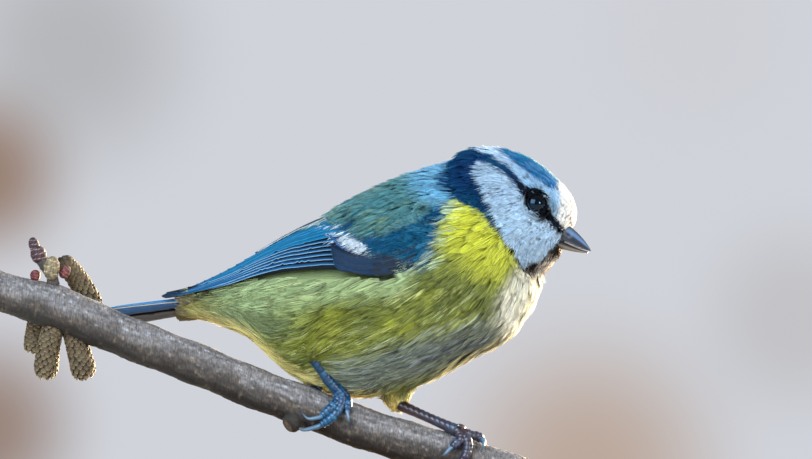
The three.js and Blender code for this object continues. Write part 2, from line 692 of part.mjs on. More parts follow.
// A closed catkin: rows of blunt scales wound round a stalk, from root to tip
function catkinSolid(root, bend, tip, radius) {
  const curve = new THREE.CatmullRomCurve3([root, bend, tip]);
  const { from, length, least } = CATKIN_ROUNDING;
  const frames = curve.computeFrenetFrames(CATKIN_ROWS - 1);
  const rings = steps(0, 1, CATKIN_ROWS).map((t, i) => {
    const rounding = Math.sqrt(Math.max(least, 1 - Math.max(0, (t - from) / length) ** 2));
    const body = radius * rounding * mix(CATKIN_SLIMNESS, 1, t);
    return around(CATKIN_SIDES).map((a, j) => {
      const out = (i + j) % 2 ? body + CATKIN_SCALE : body - CATKIN_SCALE;
      return curve
        .getPoint(t)
        .addScaledVector(frames.normals[i], out * Math.cos(a))
        .addScaledVector(frames.binormals[i], out * Math.sin(a));
    });
  });
  return solid(skin(rings));
}

// The solids of one leg, each grown by a little where it cuts a neighbour
function legSolids(leg, grow = 0) {
  const [heel, ball, ...thigh] = [leg.heel, leg.ball, ...leg.thigh].map((p) => new THREE.Vector3(...p));
  const wider = (radii) => radii.map((radius) => radius + grow);
  const round = (row) => twigPoint(...row);
  const shin = heel.clone().lerp(ball, 0.5);
  const toes = leg.toes.map((rows) => {
    return tube([ball, ...rows.map(round)], wider(TOE_RADII), LEG_SIDES.toe);
  });
  const claws = leg.claws.map((rows, i) => {
    return tube([leg.toes[i].at(-1), ...rows].map(round), wider(CLAW_RADII), LEG_SIDES.claw);
  });
  const pad = new THREE.SphereGeometry(BALL_RADIUS + grow, ...SMALL_STEPS);
  return {
    thigh: tube(thigh, wider(leg.thighRadii), LEG_SIDES.thigh),
    shank: tube([heel, shin, ball], wider(SHANK_RADII), LEG_SIDES.shank, SHANK_FLATNESS),
    foot: join([solid(pad, new THREE.Matrix4().makeTranslation(ball)), ...toes]),
    claws,
  };
}

// Base board with rounded corners and a bevelled upper edge
function baseSolid() {
  const { length, width, height, corner, bevel } = BASE;
  const [x, y] = [length / 2 - bevel, width / 2 - bevel];
  const shape = new THREE.Shape();
  shape.moveTo(x - corner, -y);
  shape.absarc(x - corner, corner - y, corner, -Math.PI / 2, 0);
  shape.absarc(x - corner, y - corner, corner, 0, Math.PI / 2);
  shape.absarc(corner - x, y - corner, corner, Math.PI / 2, Math.PI);
  shape.absarc(corner - x, corner - y, corner, Math.PI, 1.5 * Math.PI);
  const board = new THREE.ExtrudeGeometry(shape, {
    depth: height - 2 * bevel,
    bevelThickness: bevel,
    bevelSize: bevel,
    bevelSegments: BASE_BEVEL_STEPS,
    curveSegments: BASE_CORNER_STEPS,
  });
  return solid(board, new THREE.Matrix4().makeTranslation(0, 0, bevel));
}

// Upright from the base to the twig, with a collar at its foot
function rodSolid() {
  const foot = BASE.height + GAP;
  const top = read(TWIG_LINE, ROD.x)[0];
  const profile = [
    [0, foot],
    [ROD.foot, foot],
    [ROD.foot, foot + ROD.footEdge],
    [ROD.radius + ROD.lip, foot + ROD.footHeight],
    [ROD.radius, foot + ROD.footHeight + ROD.lip],
    [ROD.radius, top],
    [0, top],
  ].map(([r, z]) => new THREE.Vector2(r, z));
  const upright = new THREE.LatheGeometry(profile, ROD.sides);
  const place = new THREE.Matrix4().makeTranslation(ROD.x, 0, 0);
  return solid(upright, place.multiply(new THREE.Matrix4().makeRotationX(Math.PI / 2)));
}

const bird = new THREE.Group();
bird.position.copy(BODY_PLACE);
bird.rotation.set(radians(BODY_ROLL), 0, radians(BODY_YAW), "ZYX");
bird.updateMatrix();
const toBird = bird.matrix.clone().invert();

// The twig, what grows on it, and the stand
const twig = twigSolid();
const wideTwig = twigSolid(GAP);
const spur = spurSolid().subtract(wideTwig);
const spurRoom = join([spurSolid(), wideTwig]);
const perch = new THREE.Group();
perch.add(mesh("perch_twig", twig, MATERIALS.bark));
perch.add(mesh("perch_spur", spur, MATERIALS.bark));
for (const [name, [root, bend, tip, radius]] of Object.entries(CATKINS)) {
  const points = [root, bend, tip].map((p) => new THREE.Vector3(...p));
  const catkin = catkinSolid(...points, radius).subtract(spurRoom);
  perch.add(mesh(name, catkin, MATERIALS.catkin));
}
const stand = new THREE.Group();
stand.add(mesh("stand_base", baseSolid(), MATERIALS.stand));
stand.add(mesh("stand_rod", rodSolid().subtract(wideTwig), MATERIALS.brass));

// The torso has room for the legs, and its thighs bulge out of it
const legs = new THREE.Group();
const legRooms = [];
for (const [name, leg] of Object.entries(LEGS)) {
  const { thigh, shank, foot, claws } = legSolids(leg);
  const room = legSolids(leg, GAP);
  legRooms.push(room.thigh, room.shank, room.foot);
  legs.add(mesh(`thigh_${name}`, thigh.subtract(wideTwig), MATERIALS.yellow));
  legs.add(mesh(`shank_${name}`, shank.subtract(join([room.thigh, room.foot])), MATERIALS.foot));
  legs.add(mesh(`foot_${name}`, foot.subtract(wideTwig), MATERIALS.foot));
  claws.forEach((claw, i) => {
    const free = claw.subtract(join([room.foot, wideTwig]));
    legs.add(mesh(`claw_${name}_${i + 1}`, free, MATERIALS.claw));
  });
}

// The body is modelled whole and parted at the collar
const wingRooms = SIDES.map((side) => wingSlab(side, WING_ROOM, -GAP, () => WING_ROOM.height));
const collarBack = COLLAR_NORMAL.map((v) => -v);
const whole = join([torsoSolid(), headSolid()])
  .subtract(join(wingRooms))
  .subtract(tailRoom())
  .subtract(moved(join(legRooms), toBird));
const torso = whole.trimByPlane(collarBack, -TORSO_TO);
const neck = whole.trimByPlane(COLLAR_NORMAL, TORSO_TO + GAP).trimByPlane(collarBack, -HEAD_FROM);
const sockets = join(SIDES.map((side) => eyeball(side, GAP)));
const head = join([whole.trimByPlane(COLLAR_NORMAL, HEAD_FROM + GAP), ...SIDES.map(lid)]);
const headRoom = headSolid(GAP);
bird.add(mesh("torso", torso, MATERIALS.yellow));
bird.add(mesh("neck", neck, MATERIALS.nape));
bird.add(mesh("head", head.subtract(sockets), MATERIALS.face));
const upperBill = billHalf(true).subtract(headRoom).subtract(nostrils());
bird.add(mesh("bill_upper", upperBill, MATERIALS.bill));
bird.add(mesh("bill_lower", billHalf(false).subtract(headRoom), MATERIALS.bill));
bird.add(mesh("eye_left", eyeball(LEFT), MATERIALS.eye));
bird.add(mesh("eye_right", eyeball(RIGHT), MATERIALS.eye));
bird.add(mesh("wing_left", wingSolid(LEFT), MATERIALS.wing));
bird.add(mesh("wing_right", wingSolid(RIGHT), MATERIALS.wing));
bird.add(mesh("tail", tailSolid(), MATERIALS.tail));

const model = new THREE.Group();
model.add(stand, perch, legs, bird);

export default model;
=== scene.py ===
import logging
import math
from dataclasses import dataclass, field
from enum import Enum

import bpy
import numpy as np
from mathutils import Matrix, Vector
from mathutils.bvhtree import BVHTree
from mathutils.kdtree import KDTree


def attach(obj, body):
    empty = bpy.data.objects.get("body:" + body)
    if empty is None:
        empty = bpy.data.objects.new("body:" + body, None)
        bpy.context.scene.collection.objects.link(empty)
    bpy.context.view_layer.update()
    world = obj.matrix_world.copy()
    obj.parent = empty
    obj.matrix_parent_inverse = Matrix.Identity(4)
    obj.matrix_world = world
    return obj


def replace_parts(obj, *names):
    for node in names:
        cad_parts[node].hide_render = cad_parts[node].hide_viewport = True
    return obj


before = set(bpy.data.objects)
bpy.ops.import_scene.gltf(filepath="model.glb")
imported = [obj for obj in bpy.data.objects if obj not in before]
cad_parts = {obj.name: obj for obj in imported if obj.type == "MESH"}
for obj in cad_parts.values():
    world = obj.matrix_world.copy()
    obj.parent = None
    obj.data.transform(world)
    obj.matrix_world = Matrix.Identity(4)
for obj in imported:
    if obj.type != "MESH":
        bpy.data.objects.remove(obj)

# A life-size blue tit on a hazel twig. Lengths are millimetres until a mesh is made, in the packed
# model's frame: the bird faces +X and a little towards -Y, and its right side is towards -Y.
LOG = logging.getLogger("blue_tit")
MM = 0.001
SEED = 20
FLESH = ("torso", "neck", "head", "thigh_right", "thigh_left")
COAT_DEPTH = 0.9
PIECE_LIMIT = 190_000
BAKE_MAP = "OFBake"
BAKE_PATCH = 0.003
# How far from the head's middle its markings fade into the body's
HEAD_EDGE = (26, 23)


class Side(Enum):
    """The bird's sides, as the sign of y in its own frame."""

    LEFT = 1
    RIGHT = -1

    @property
    def label(self) -> str:
        """The side as the pieces' names say it."""
        return self.name.lower()


def smooth(low: float, high: float, value: np.ndarray) -> np.ndarray:
    """Rises softly from 0 at low to 1 at high.

    Args:
        low: Where the rise begins.
        high: Where it ends; it may lie below low for a fall.
        value: Numbers to read it at.

    Returns:
        Numbers between 0 and 1.
    """
    t = np.clip((np.asarray(value, float) - low) / (high - low), 0, 1)
    return t * t * (3 - 2 * t)


def unit(vectors: np.ndarray) -> np.ndarray:
    """The vectors at length 1."""
    return vectors / np.maximum(np.linalg.norm(vectors, axis=-1, keepdims=True), 1e-9)


def shade(red: float, green: float, blue: float) -> np.ndarray:
    """A display colour of 0 to 255 as linear light."""
    c = np.array((red, green, blue)) / 255
    return np.where(c <= 0.04045, c / 12.92, ((c + 0.055) / 1.055) ** 2.4)


def mix(a: np.ndarray, b: np.ndarray, share: np.ndarray) -> np.ndarray:
    """Colours from a to b by a share for each point."""
    return a + (b - a) * np.asarray(share, float)[..., None]


def turn(axis: str, degrees: float) -> np.ndarray:
    """A turn about one axis.

    Args:
        axis: "x", "y" or "z".
        degrees: How far.

    Returns:
        A 3 by 3 matrix.
    """
    i = "xyz".index(axis)
    j, k = (i + 1) % 3, (i + 2) % 3
    made = np.eye(3)
    made[j, j] = made[k, k] = math.cos(math.radians(degrees))
    made[k, j] = math.sin(math.radians(degrees))
    made[j, k] = -made[k, j]
    return made


def noise(points: np.ndarray, size: float | tuple, seed: int = 0) -> np.ndarray:
    """Smooth random values.

    Args:
        points: Where, as rows of three.
        size: How far across its lumps are, or that for each axis.
        seed: Which noise.

    Returns:
        A value between 0 and 1 for each point.
    """
    p = points / np.asarray(size, float)
    cell = np.floor(p).astype(np.int64)
    f = p - cell
    f = f * f * (3 - 2 * f)
    total = np.zeros(len(points))
    for corner in np.ndindex(2, 2, 2):
        c = (cell + np.array(corner)).astype(np.uint64)
        h = c[:, 0] * np.uint64(73856093) + c[:, 1] * np.uint64(19349663)
        h = h + c[:, 2] * np.uint64(83492791) + np.uint64(seed * 2654435761)
        for shift, factor in ((15, 0x2C1B3C6D), (12, 0x297A2D39)):
            h = ((h ^ (h >> np.uint64(shift))) * np.uint64(factor)) & np.uint64(0xFFFFFFFF)
        value = (h ^ (h >> np.uint64(15))).astype(float) / 0xFFFFFFFF
        weight = np.prod(np.where(corner, f, 1 - f), axis=1)
        total += weight * value
    return total


@dataclass(frozen=True)
class Pose:
    """A frame that is turned and shifted inside another one."""

    place: np.ndarray
    matrix: np.ndarray

    def out(self, points: np.ndarray) -> np.ndarray:
        """Points of this frame in the outer one."""
        return points @ self.matrix.T + self.place

    def into(self, points: np.ndarray) -> np.ndarray:
        """Points of the outer frame in this one."""
        return (points - self.place) @ self.matrix


BIRD = Pose(np.array((12.0, 3.0, 58.3)), turn("z", -18) @ turn("x", -9))
HEAD = Pose(np.array((25.2, 0.0, 16.5)), turn("z", 8) @ turn("y", 21))


def from_head(points: np.ndarray) -> np.ndarray:
    """Points of the head's frame in the model's."""
    return BIRD.out(HEAD.out(points))


class Curve:
    """Numbers at a key, read smoothly from rows whose first column rises."""

    def __init__(self, rows: list) -> None:
        """Keeps the rows."""
        self.rows = np.array(rows, float)

    def __call__(self, key: np.ndarray) -> np.ndarray:
        """Reads the other columns.

        Args:
            key: Places along the first column.

        Returns:
            One number for each key, or a row of them where there are more columns.
        """
        rows, key = self.rows, np.asarray(key, float)
        last = len(rows) - 1
        i = np.clip(np.searchsorted(rows[:, 0], key, side="right") - 1, 0, last - 1)
        span = (rows[i + 1, 0] - rows[i, 0])[..., None]
        t = np.clip((key[..., None] - rows[i, 0][..., None]) / span, 0, 1)

        def slope(j: np.ndarray) -> np.ndarray:
            """The rise over this step at row j."""
            d = rows[np.minimum(j + 1, last)] - rows[np.maximum(j - 1, 0)]
            return d[..., 1:] / d[..., :1] * span

        a, b = rows[i, 1:], rows[i + 1, 1:]
        t2, t3 = t**2, t**3
        made = a * (2 * t3 - 3 * t2 + 1) + slope(i) * (t3 - 2 * t2 + t)
        made = made + b * (3 * t2 - 2 * t3) + slope(i + 1) * (t3 - t2)
        return made[..., 0] if made.shape[-1] == 1 else made


def line_distance(points: np.ndarray, line: list) -> np.ndarray:
    """How far points lie from a bent line.

    Args:
        points: Rows of two or three numbers.
        line: The line's corners.

    Returns:
        One distance for each point.
    """
    corners = np.array(line, float)
    best = np.full(len(points), np.inf)
    for a, b in zip(corners[:-1], corners[1:]):
        d = b - a
        t = np.clip((points - a) @ d / (d @ d), 0, 1)
        best = np.minimum(best, np.linalg.norm(points - a - t[:, None] * d, axis=1))
    return best


class Plumage:
    """The bird's markings and the lie of its feathers, as functions of place that skin and coat share.

    Marks on the head are in degrees round its middle: the turn from the bill to the nape and the
    height over the level. Marks on the body are on its side view, in X and Z of the model's frame.
    """

    EYE_LINE = Curve([[0, 1], [10, 3], [20, 5], [32, 10], [45, 13.5], [56, 19], [68, 24], [80, 31],
                      [98, 39], [116, 41], [135, 40], [146, 36], [154, 32], [180, 30]])
    LINE_HALF = Curve([[0, 3], [20, 3.8], [38, 6], [47, 10.5], [56, 12.4], [64, 10.5], [71, 7.2], [85, 5.4],
                       [110, 4.8], [130, 5.2], [150, 8.5], [180, 12]])
    CAP_EDGE = Curve([[0, 54], [20, 49], [34, 40], [45, 41], [56, 45], [74, 50], [95, 54],
                      [117, 56], [135, 57], [152, 58], [180, 62]])
    CHEEK_EDGE = Curve([[-43, 20], [-41, 34], [-39, 46], [-34, 58], [-29, 70], [-21, 82], [-12, 94],
                        [-4, 104], [6, 113], [14, 124], [20, 134], [26, 137], [31, 139], [40, 139]])
    COLLAR_EDGE = Curve([[-43, 40], [-41, 46], [-38, 54], [-34, 64], [-28, 75], [-23, 87],
                         [-17, 99], [-12, 109], [-10, 124], [-5, 140], [5, 153], [14, 161],
                         [23, 180], [43, 215]])
    BIB_EDGE = Curve([[-43, 34], [-41, 33], [-36, 28], [-31, 20], [-23, 18], [-16, 18], [-9, 14],
                      [-4, 9], [0, 3]])
    BIB_FOOT = Curve([[0, -37], [10, -38], [18, -43], [40, -43], [180, -43]])
    MANTLE_EDGE = Curve([[-45, 57], [-30.4, 59], [-17.4, 63.5], [-4.3, 71.5], [1, 72.3],
                         [5.5, 69.3], [13, 71.5], [18.5, 74], [21.7, 76.5], [26, 78.5]])
    # The X beyond which the breast's front is painted cream-white as painted rim light from behind, by height
    BREAST_RIM_LIGHT_EDGE = Curve([[35, 41], [43, 38], [47, 36.8], [52, 34.3], [58, 35.5], [64.8, 40],
                        [70, 44]])
    # The lie of the feathers on the side view: X, Z, and the way they point
    LIE = np.array([
        [50.4, 76.7, -0.3, 1.0], [46.7, 82.2, -0.8, 0.6], [39.1, 88.3, -1.0, 0.25],
        [30.4, 89.1, -1.0, -0.1], [41.3, 82.2, -0.8, 0.6], [47.0, 73.0, -0.7, 0.6],
        [45.7, 70.2, -1.0, -0.1], [39.1, 73.5, -0.9, -0.35], [33.7, 77.8, -0.85, -0.3],
        [32.6, 83.5, -0.85, 0.25], [40.2, 66.9, -0.55, -0.85], [46.7, 66.5, -0.5, -0.9],
        [30.4, 77.8, -0.85, -0.5], [26.1, 74.6, -0.94, -0.3], [30.4, 69.1, -0.78, -0.62],
        [34.8, 64.8, -0.62, -0.78], [39.1, 58.3, -0.4, -0.92], [37.0, 51.7, -0.55, -0.84],
        [30.4, 46.3, -0.82, -0.58], [21.7, 43.0, -0.9, -0.42], [13.0, 39.8, -0.95, -0.3],
        [22.0, 66.0, -0.88, -0.48], [26.0, 58.0, -0.72, -0.7], [19.6, 58.3, -0.82, -0.58],
        [17.4, 49.6, -0.82, -0.58], [8.0, 58.0, -0.9, -0.42], [2.2, 56.1, -0.95, -0.3],
        [2.0, 47.5, -0.92, -0.4], [-8.7, 58.3, -1.0, -0.05], [-8.7, 47.4, -0.95, -0.3], [-21.7, 56.1, -1.0, 0.05],
        [-19.6, 49.6, -0.98, 0.15], [-30.4, 53.9, -1.0, 0.05], [-35.0, 54.0, -1.0, -0.08], [0.0, 40.0, -0.98, -0.1],
        [10.9, 80.0, -0.85, -0.5], [2.2, 76.1, -0.8, -0.55], [17.4, 82.6, -0.9, -0.45],
        [10.9, 73.9, -0.8, -0.6], [-4.3, 73.9, -0.9, -0.45], [10.9, 69.1, -0.97, -0.22],
        [20.0, 71.7, -1.0, -0.05], [4.3, 66.9, -0.97, -0.25], [24.0, 84.8, -0.95, -0.2],
        [-26.0, 60.5, -0.9, -0.4], [-5.0, 46.0, -0.6, -0.8], [-1.0, 50.0, -0.85, -0.52], [11.5, 35.0, 0.2, -1.0],
    ])

    YELLOW = shade(212, 214, 66)
    OLIVE = shade(116, 124, 58)
    GOLD = shade(150, 154, 56)
    LIGHT = shade(184, 204, 146)
    SAGE = shade(150, 172, 138)
    GREY = shade(134, 142, 128)
    STREAK = shade(62, 68, 84)
    # The cream-white of the painted rim light from behind on the breast's front
    BREAST_RIM_LIGHT = shade(252, 246, 224)
    # The gold of the painted rim light from behind along the lower outline
    GOLDEN_RIM_LIGHT = shade(250, 226, 140)
    VENT = shade(164, 156, 88)
    UNDERTAIL = shade(118, 106, 78)
    TEAL = shade(72, 132, 140)
    MOSS = shade(104, 140, 122)
    NAPE = shade(112, 178, 216)
    NAVY = shade(6, 48, 92)
    INK = shade(6, 12, 22)
    FRINGE = shade(200, 218, 176)
    CHEEK = shade(186, 210, 232)
    BROW = shade(142, 182, 214)
    CAP = shade(12, 78, 138)
    CAP_LIGHT = shade(70, 130, 182)
    FOREHEAD = shade(250, 242, 234)
    BIB = shade(30, 24, 24)
    CHIN = shade(240, 226, 210)
    WING = shade(10, 68, 112)
    WING_LIGHT = shade(40, 116, 152)
    BAR = shade(226, 238, 252)
    # The lower outline of the side view, which the light from behind makes golden
    RIM = ((-29, 50.4), (-24, 49), (-19, 47), (-13, 42), (-7, 39), (1, 35), (10, 33.7), (18, 35),
           (22, 38), (26, 41), (35, 45.4))
    # Corners of other marks on the side view: under the wing, the yellow of the neck, the grey of
    # the belly, the streaked part of the breast, the pale fringe along the wing, and the wing's bar
    UNDER_WING = ((-24, 57.5), (-8, 58.8), (0, 60.5), (12, 61.5))
    NECK = ((24, 75), (31, 70.5), (33, 68.5))
    GREY_LINE = ((2, 39.5), (12, 42), (21, 45), (32, 48.5))
    STREAKED = ((2, 40), (14, 43), (24, 47), (34, 52))
    FRINGE_LINE = ((8, 60.3), (15, 62.2), (22, 65.8))
    BAR_LINE = ((-4.6, 72.6), (-1.6, 71.0), (1.2, 69.2), (4.8, 66.6))

    @staticmethod
    def frames(points: np.ndarray) -> tuple:
        """Where points lie in the bird, on the side view and round the head.

        Args:
            points: Rows in the model's frame.

        Returns:
            The bird's frame, X and Z of the side view, turn and height round the head in degrees,
            and distance from its middle.
        """
        bird = BIRD.into(points)
        mirrored = bird * (1, 0, 1) - np.abs(bird) * (0, 1, 0)
        side = BIRD.out(mirrored)[:, [0, 2]]
        head = HEAD.into(bird)
        around = np.degrees(np.arctan2(np.abs(head[:, 1]), head[:, 0]))
        level = np.hypot(head[:, 0], head[:, 1])
        height = np.degrees(np.arctan2(head[:, 2], level))
        return bird, side, around, height, np.linalg.norm(head, axis=1)

    def lie(self, points: np.ndarray, normals: np.ndarray) -> np.ndarray:
        """Which way the feathers at points lie, along the surface.

        Args:
            points: Rows in the model's frame.
            normals: The surface's normals there.

        Returns:
            Unit vectors.
        """
        bird, side, *_ = self.frames(points)
        d2 = ((side[:, None] - self.LIE[None, :, :2]) ** 2).sum(2)
        weight = 1 / (d2 + 2.0) ** 1.6
        way = weight @ self.LIE[:, 2:] / weight.sum(1, keepdims=True)
        flat = np.stack([way[:, 0], 0 * way[:, 0], way[:, 1]], 1)
        own = flat @ BIRD.matrix
        own[:, 1] *= -np.sign(bird[:, 1])
        own[:, 1] += 0.12 * np.sign(bird[:, 1]) * smooth(3, 0, np.abs(bird[:, 1]))
        laid = own @ BIRD.matrix.T
        return unit(laid - normals * (laid * normals).sum(1, keepdims=True))

    def colours(self, points: np.ndarray, own: np.ndarray, rng: np.random.Generator) -> np.ndarray:
        """The markings' colours.

        Args:
            points: Rows in the model's frame.
            own: A chance value between 0 and 1 for each, alike along a streak.
            rng: Source of the unevenness of the marks' edges.

        Returns:
            Linear colours.
        """
        bird, side, around, height, reach = self.frames(points)
        stray = rng.normal(0, 1, (len(points), 2))
        body = self.body_colours(bird, side, own)
        around = around + stray[:, 0] * 1.3
        height = height + stray[:, 1] * 1.1
        head, cover = self.head_colours(around, height, own)
        cover = cover * smooth(*HEAD_EDGE, reach)
        return np.clip(mix(body, head, cover), 0.002, 0.95)

    def streaked(self, colours: np.ndarray, points: np.ndarray, pale: np.ndarray) -> np.ndarray:
        """Whitens or darkens some streaks, most of all low on the breast and flank.

        Args:
            colours: The markings' colours.
            points: Rows in the model's frame.
            pale: A chance value for each.

        Returns:
            The colours with their streaks.
        """
        _, side, _, _, reach = self.frames(points)
        x, z = side[:, 0], side[:, 1]
        low = smooth(9, 2, line_distance(side, self.STREAKED)) * smooth(24, 28, reach)
        c = mix(colours, shade(196, 206, 204), low * 0.5 * smooth(0.82, 0.92, pale))
        c = mix(c, self.STREAK, low * 0.7 * smooth(0.2, 0.14, pale))
        flank = smooth(63, 58, z) * (1 - low)
        c = mix(c, shade(222, 222, 150), flank * 0.5 * smooth(0.9, 0.95, pale))
        c = mix(c, c * 0.5, flank * 0.6 * smooth(0.14, 0.08, pale))
        mantle = smooth(-0.5, 1, z - self.MANTLE_EDGE(x)) * smooth(25, 30, reach)
        c = mix(c, c * 0.42, mantle * 0.8 * smooth(0.24, 0.16, pale))
        return mix(c, shade(132, 164, 140), mantle * 0.6 * smooth(0.78, 0.86, pale))

    def body_colours(self, bird: np.ndarray, side: np.ndarray, own: np.ndarray) -> np.ndarray:
        """Colours of back, breast, flank and belly.

        Args:
            bird: Points in the bird's frame.
            side: The same on the side view.
            own: Each one's chance value.

        Returns:
            Linear colours.
        """
        x, z = side[:, 0], side[:, 1]
        lumps = noise(bird, (7, 6, 3.5), 1)
        gold = lumps * 0.6 + own * 0.3 + 0.25 * smooth(58, 46, z)
        c = mix(self.OLIVE, self.GOLD, smooth(0.4, 0.8, gold))
        c = mix(c, self.SAGE, 0.35 * smooth(-3, -14, x) * smooth(46, 52, z))
        c = mix(c, self.LIGHT, 0.9 * smooth(6.5, 1.5, line_distance(side, self.UNDER_WING)))
        c = mix(c, self.YELLOW, smooth(11, 3, line_distance(side, self.NECK)))
        grey = line_distance(side, self.GREY_LINE)
        c = mix(c, self.GREY, 0.85 * smooth(6.5, 1.5, grey))
        c = mix(c, self.STREAK, smooth(4.5, 1.0, grey) * smooth(0.45, 0.75, own) * smooth(4, 28, x) * 0.9)
        c = mix(c, self.VENT, smooth(-22, -32, x) * smooth(59, 54, z))
        # The breast's front is painted cream-white: painted rim light from behind
        c = mix(c, self.BREAST_RIM_LIGHT, smooth(-2.5, 2.5, x - self.BREAST_RIM_LIGHT_EDGE(z)))
        # Some strands along the lower outline get a painted golden rim light from behind
        rim = smooth(3.2, 1.2, line_distance(side, self.RIM))
        c = mix(c, self.GOLDEN_RIM_LIGHT, 0.85 * rim * smooth(0, 0.35, own))
        c = mix(c, self.UNDERTAIL, 0.9 * smooth(-31.5, -34, x) * smooth(58, 56, z))
        fore = x + 0.35 * (72 - z)
        wing = smooth(62, 65.5, z + 0.22 * (x - 14)) * smooth(24.5, 21, fore)
        wing = wing * smooth(0.5, 1.5, np.abs(bird[:, 1]) - 4)
        pale = 0.7 * smooth(0.5, 1, own) + 0.3 * smooth(16, 24, x)
        c = mix(c, mix(self.WING, self.WING_LIGHT, pale), wing)
        fringe = smooth(2.4, 0.8, np.abs(fore - 22.8)) * smooth(62, 64, z) * smooth(79, 76, z)
        fringe = np.maximum(fringe, smooth(1.5, 0.5, line_distance(side, self.FRINGE_LINE)))
        c = mix(c, self.FRINGE, fringe * 0.85 * smooth(0.35, 0.6, own))
        above = z - self.MANTLE_EDGE(x)
        back = mix(self.TEAL, self.MOSS, smooth(0.4, 0.95, 0.6 * own + 0.4 * lumps))
        back = mix(back, self.SAGE, 0.4 * smooth(-2, -10, x))
        back = mix(back, self.NAPE, smooth(9, 4, np.hypot(x - 22.3, z - 82.8)) * 0.85)
        c = mix(c, back, smooth(-0.7, 0.7, above + 0.8 * (own - 0.5)))
        bar = smooth(1.8, 1.3, line_distance(side, self.BAR_LINE) + 0.4 * (own - 0.5))
        return mix(c, self.BAR, bar * smooth(3.5, 5, np.abs(bird[:, 1])))

    def head_colours(self, around: np.ndarray, height: np.ndarray, own: np.ndarray) -> tuple:
        """Colours of cap, brow, eye line, cheek, collar and bib.

        Args:
            around: Turn from the bill to the nape, degrees.
            height: Height over the head's level, degrees.
            own: Each one's chance value.

        Returns:
            Linear colours, and how far each covers the body's.
        """
        c = mix(self.CHEEK, self.BROW, 0.45 * own)
        brow = smooth(-1.5, 1.5, height - self.EYE_LINE(around))
        c = mix(c, mix(self.BROW, self.CHEEK, smooth(60, 140, around)), brow)
        cap = smooth(-1.6, 1.6, height - self.CAP_EDGE(around))
        pale = 0.6 * smooth(0.74, 0.86, own) + 0.35 * smooth(45, 22, around)
        c = mix(c, mix(self.CAP, self.CAP_LIGHT, np.clip(pale, 0, 0.85)), cap)
        fore = smooth(31, 22, around) * smooth(-3, 3, height - self.EYE_LINE(around)) * (1 - cap)
        c = mix(c, self.FOREHEAD, fore)
        off_line = np.abs(height - self.EYE_LINE(around)) - self.LINE_HALF(around)
        line = smooth(1.2, -1.2, off_line)
        c = mix(c, mix(self.INK, self.NAVY, smooth(70, 120, around)), line)
        past_cheek = smooth(-1.5, 1.5, around - self.CHEEK_EDGE(height))
        past_cheek = past_cheek * smooth(2, -2, height - self.EYE_LINE(around))
        c = mix(c, mix(self.INK, self.NAVY, smooth(-32, -8, height)), past_cheek)
        bib = smooth(1.5, -1.5, around - self.BIB_EDGE(height)) * smooth(-3, -6, height)
        chin = smooth(24, 10, around) * smooth(-15, -27, height) * smooth(0.25, 0.5, own)
        c = mix(c, mix(self.BIB, self.CHIN, 0.9 * chin), bib)
        inside = smooth(1.5, -1.5, around - self.COLLAR_EDGE(height))
        inside = inside * smooth(-1, 1, height - self.BIB_FOOT(around))
        return c, inside


def read(rows: bpy.types.bpy_prop_collection, key: str, wide: int, kind: type = np.float32) -> np.ndarray:
    """One property of every part of a mesh.

    Args:
        rows: The mesh's vertices, loops or triangles.
        key: The property's name.
        wide: How many numbers it has.
        kind: Their type.

    Returns:
        A row of numbers for each part.
    """
    values = np.empty(len(rows) * wide, kind)
    rows.foreach_get(key, values)
    return values.reshape(-1, wide)


def paint(mesh: bpy.types.Mesh, colours: np.ndarray) -> None:
    """Stores a linear colour for each point of a mesh."""
    rgba = np.concatenate([colours, np.ones((len(colours), 1))], 1).astype(np.float32)
    mesh.color_attributes.new("Plumage", "FLOAT_COLOR", "POINT").data.foreach_set("color", rgba.ravel())


class Surface:
    """A closed guide surface whose points can be drawn by chance and found by nearness."""

    def __init__(self, obj: bpy.types.Object) -> None:
        """Reads an object's mesh, in millimetres.

        Args:
            obj: The object.
        """
        mesh = obj.data
        mesh.calc_loop_triangles()
        self.points = read(mesh.vertices, "co", 3).astype(float) / MM
        self.normals = read(mesh.vertices, "normal", 3).astype(float)
        self.triangles = read(mesh.loop_triangles, "vertices", 3, np.int32)
        self.tree = BVHTree.FromPolygons(self.points.tolist(), self.triangles.tolist())

    def draw(self, density: np.ndarray, rng: np.random.Generator) -> tuple:
        """Random points, as many on each triangle as a density asks.

        Args:
            density: Points for each square millimetre at each of the surface's points.
            rng: Source of chance.

        Returns:
            Points and normals.
        """
        a, b, c = (self.points[self.triangles[:, i]] for i in range(3))
        area = np.linalg.norm(np.cross(b - a, c - a), axis=1) / 2
        wanted = area * density[self.triangles].mean(1)
        count = int(wanted.sum())
        picked = rng.choice(len(area), count, p=wanted / wanted.sum())
        u, v = rng.random((2, count))
        over = u + v > 1
        u[over], v[over] = 1 - u[over], 1 - v[over]
        share = np.stack([1 - u - v, u, v], 1)[..., None]
        corners = self.triangles[picked]
        return (self.points[corners] * share).sum(1), unit((self.normals[corners] * share).sum(1))

    def nearest(self, points: np.ndarray) -> tuple:
        """The surface's nearest points.

        Args:
            points: Rows to look from.

        Returns:
            Points, smooth normals, and the triangles' numbers.
        """
        found = [self.tree.find_nearest(p) for p in points.tolist()]
        index = np.array([f[2] for f in found])
        place = np.array([f[0] for f in found])
        corners = self.triangles[index]
        weight = 1 / (np.linalg.norm(self.points[corners] - place[:, None], axis=2) + 0.05)
        normal = (self.normals[corners] * weight[..., None]).sum(1)
        return place, unit(normal), index


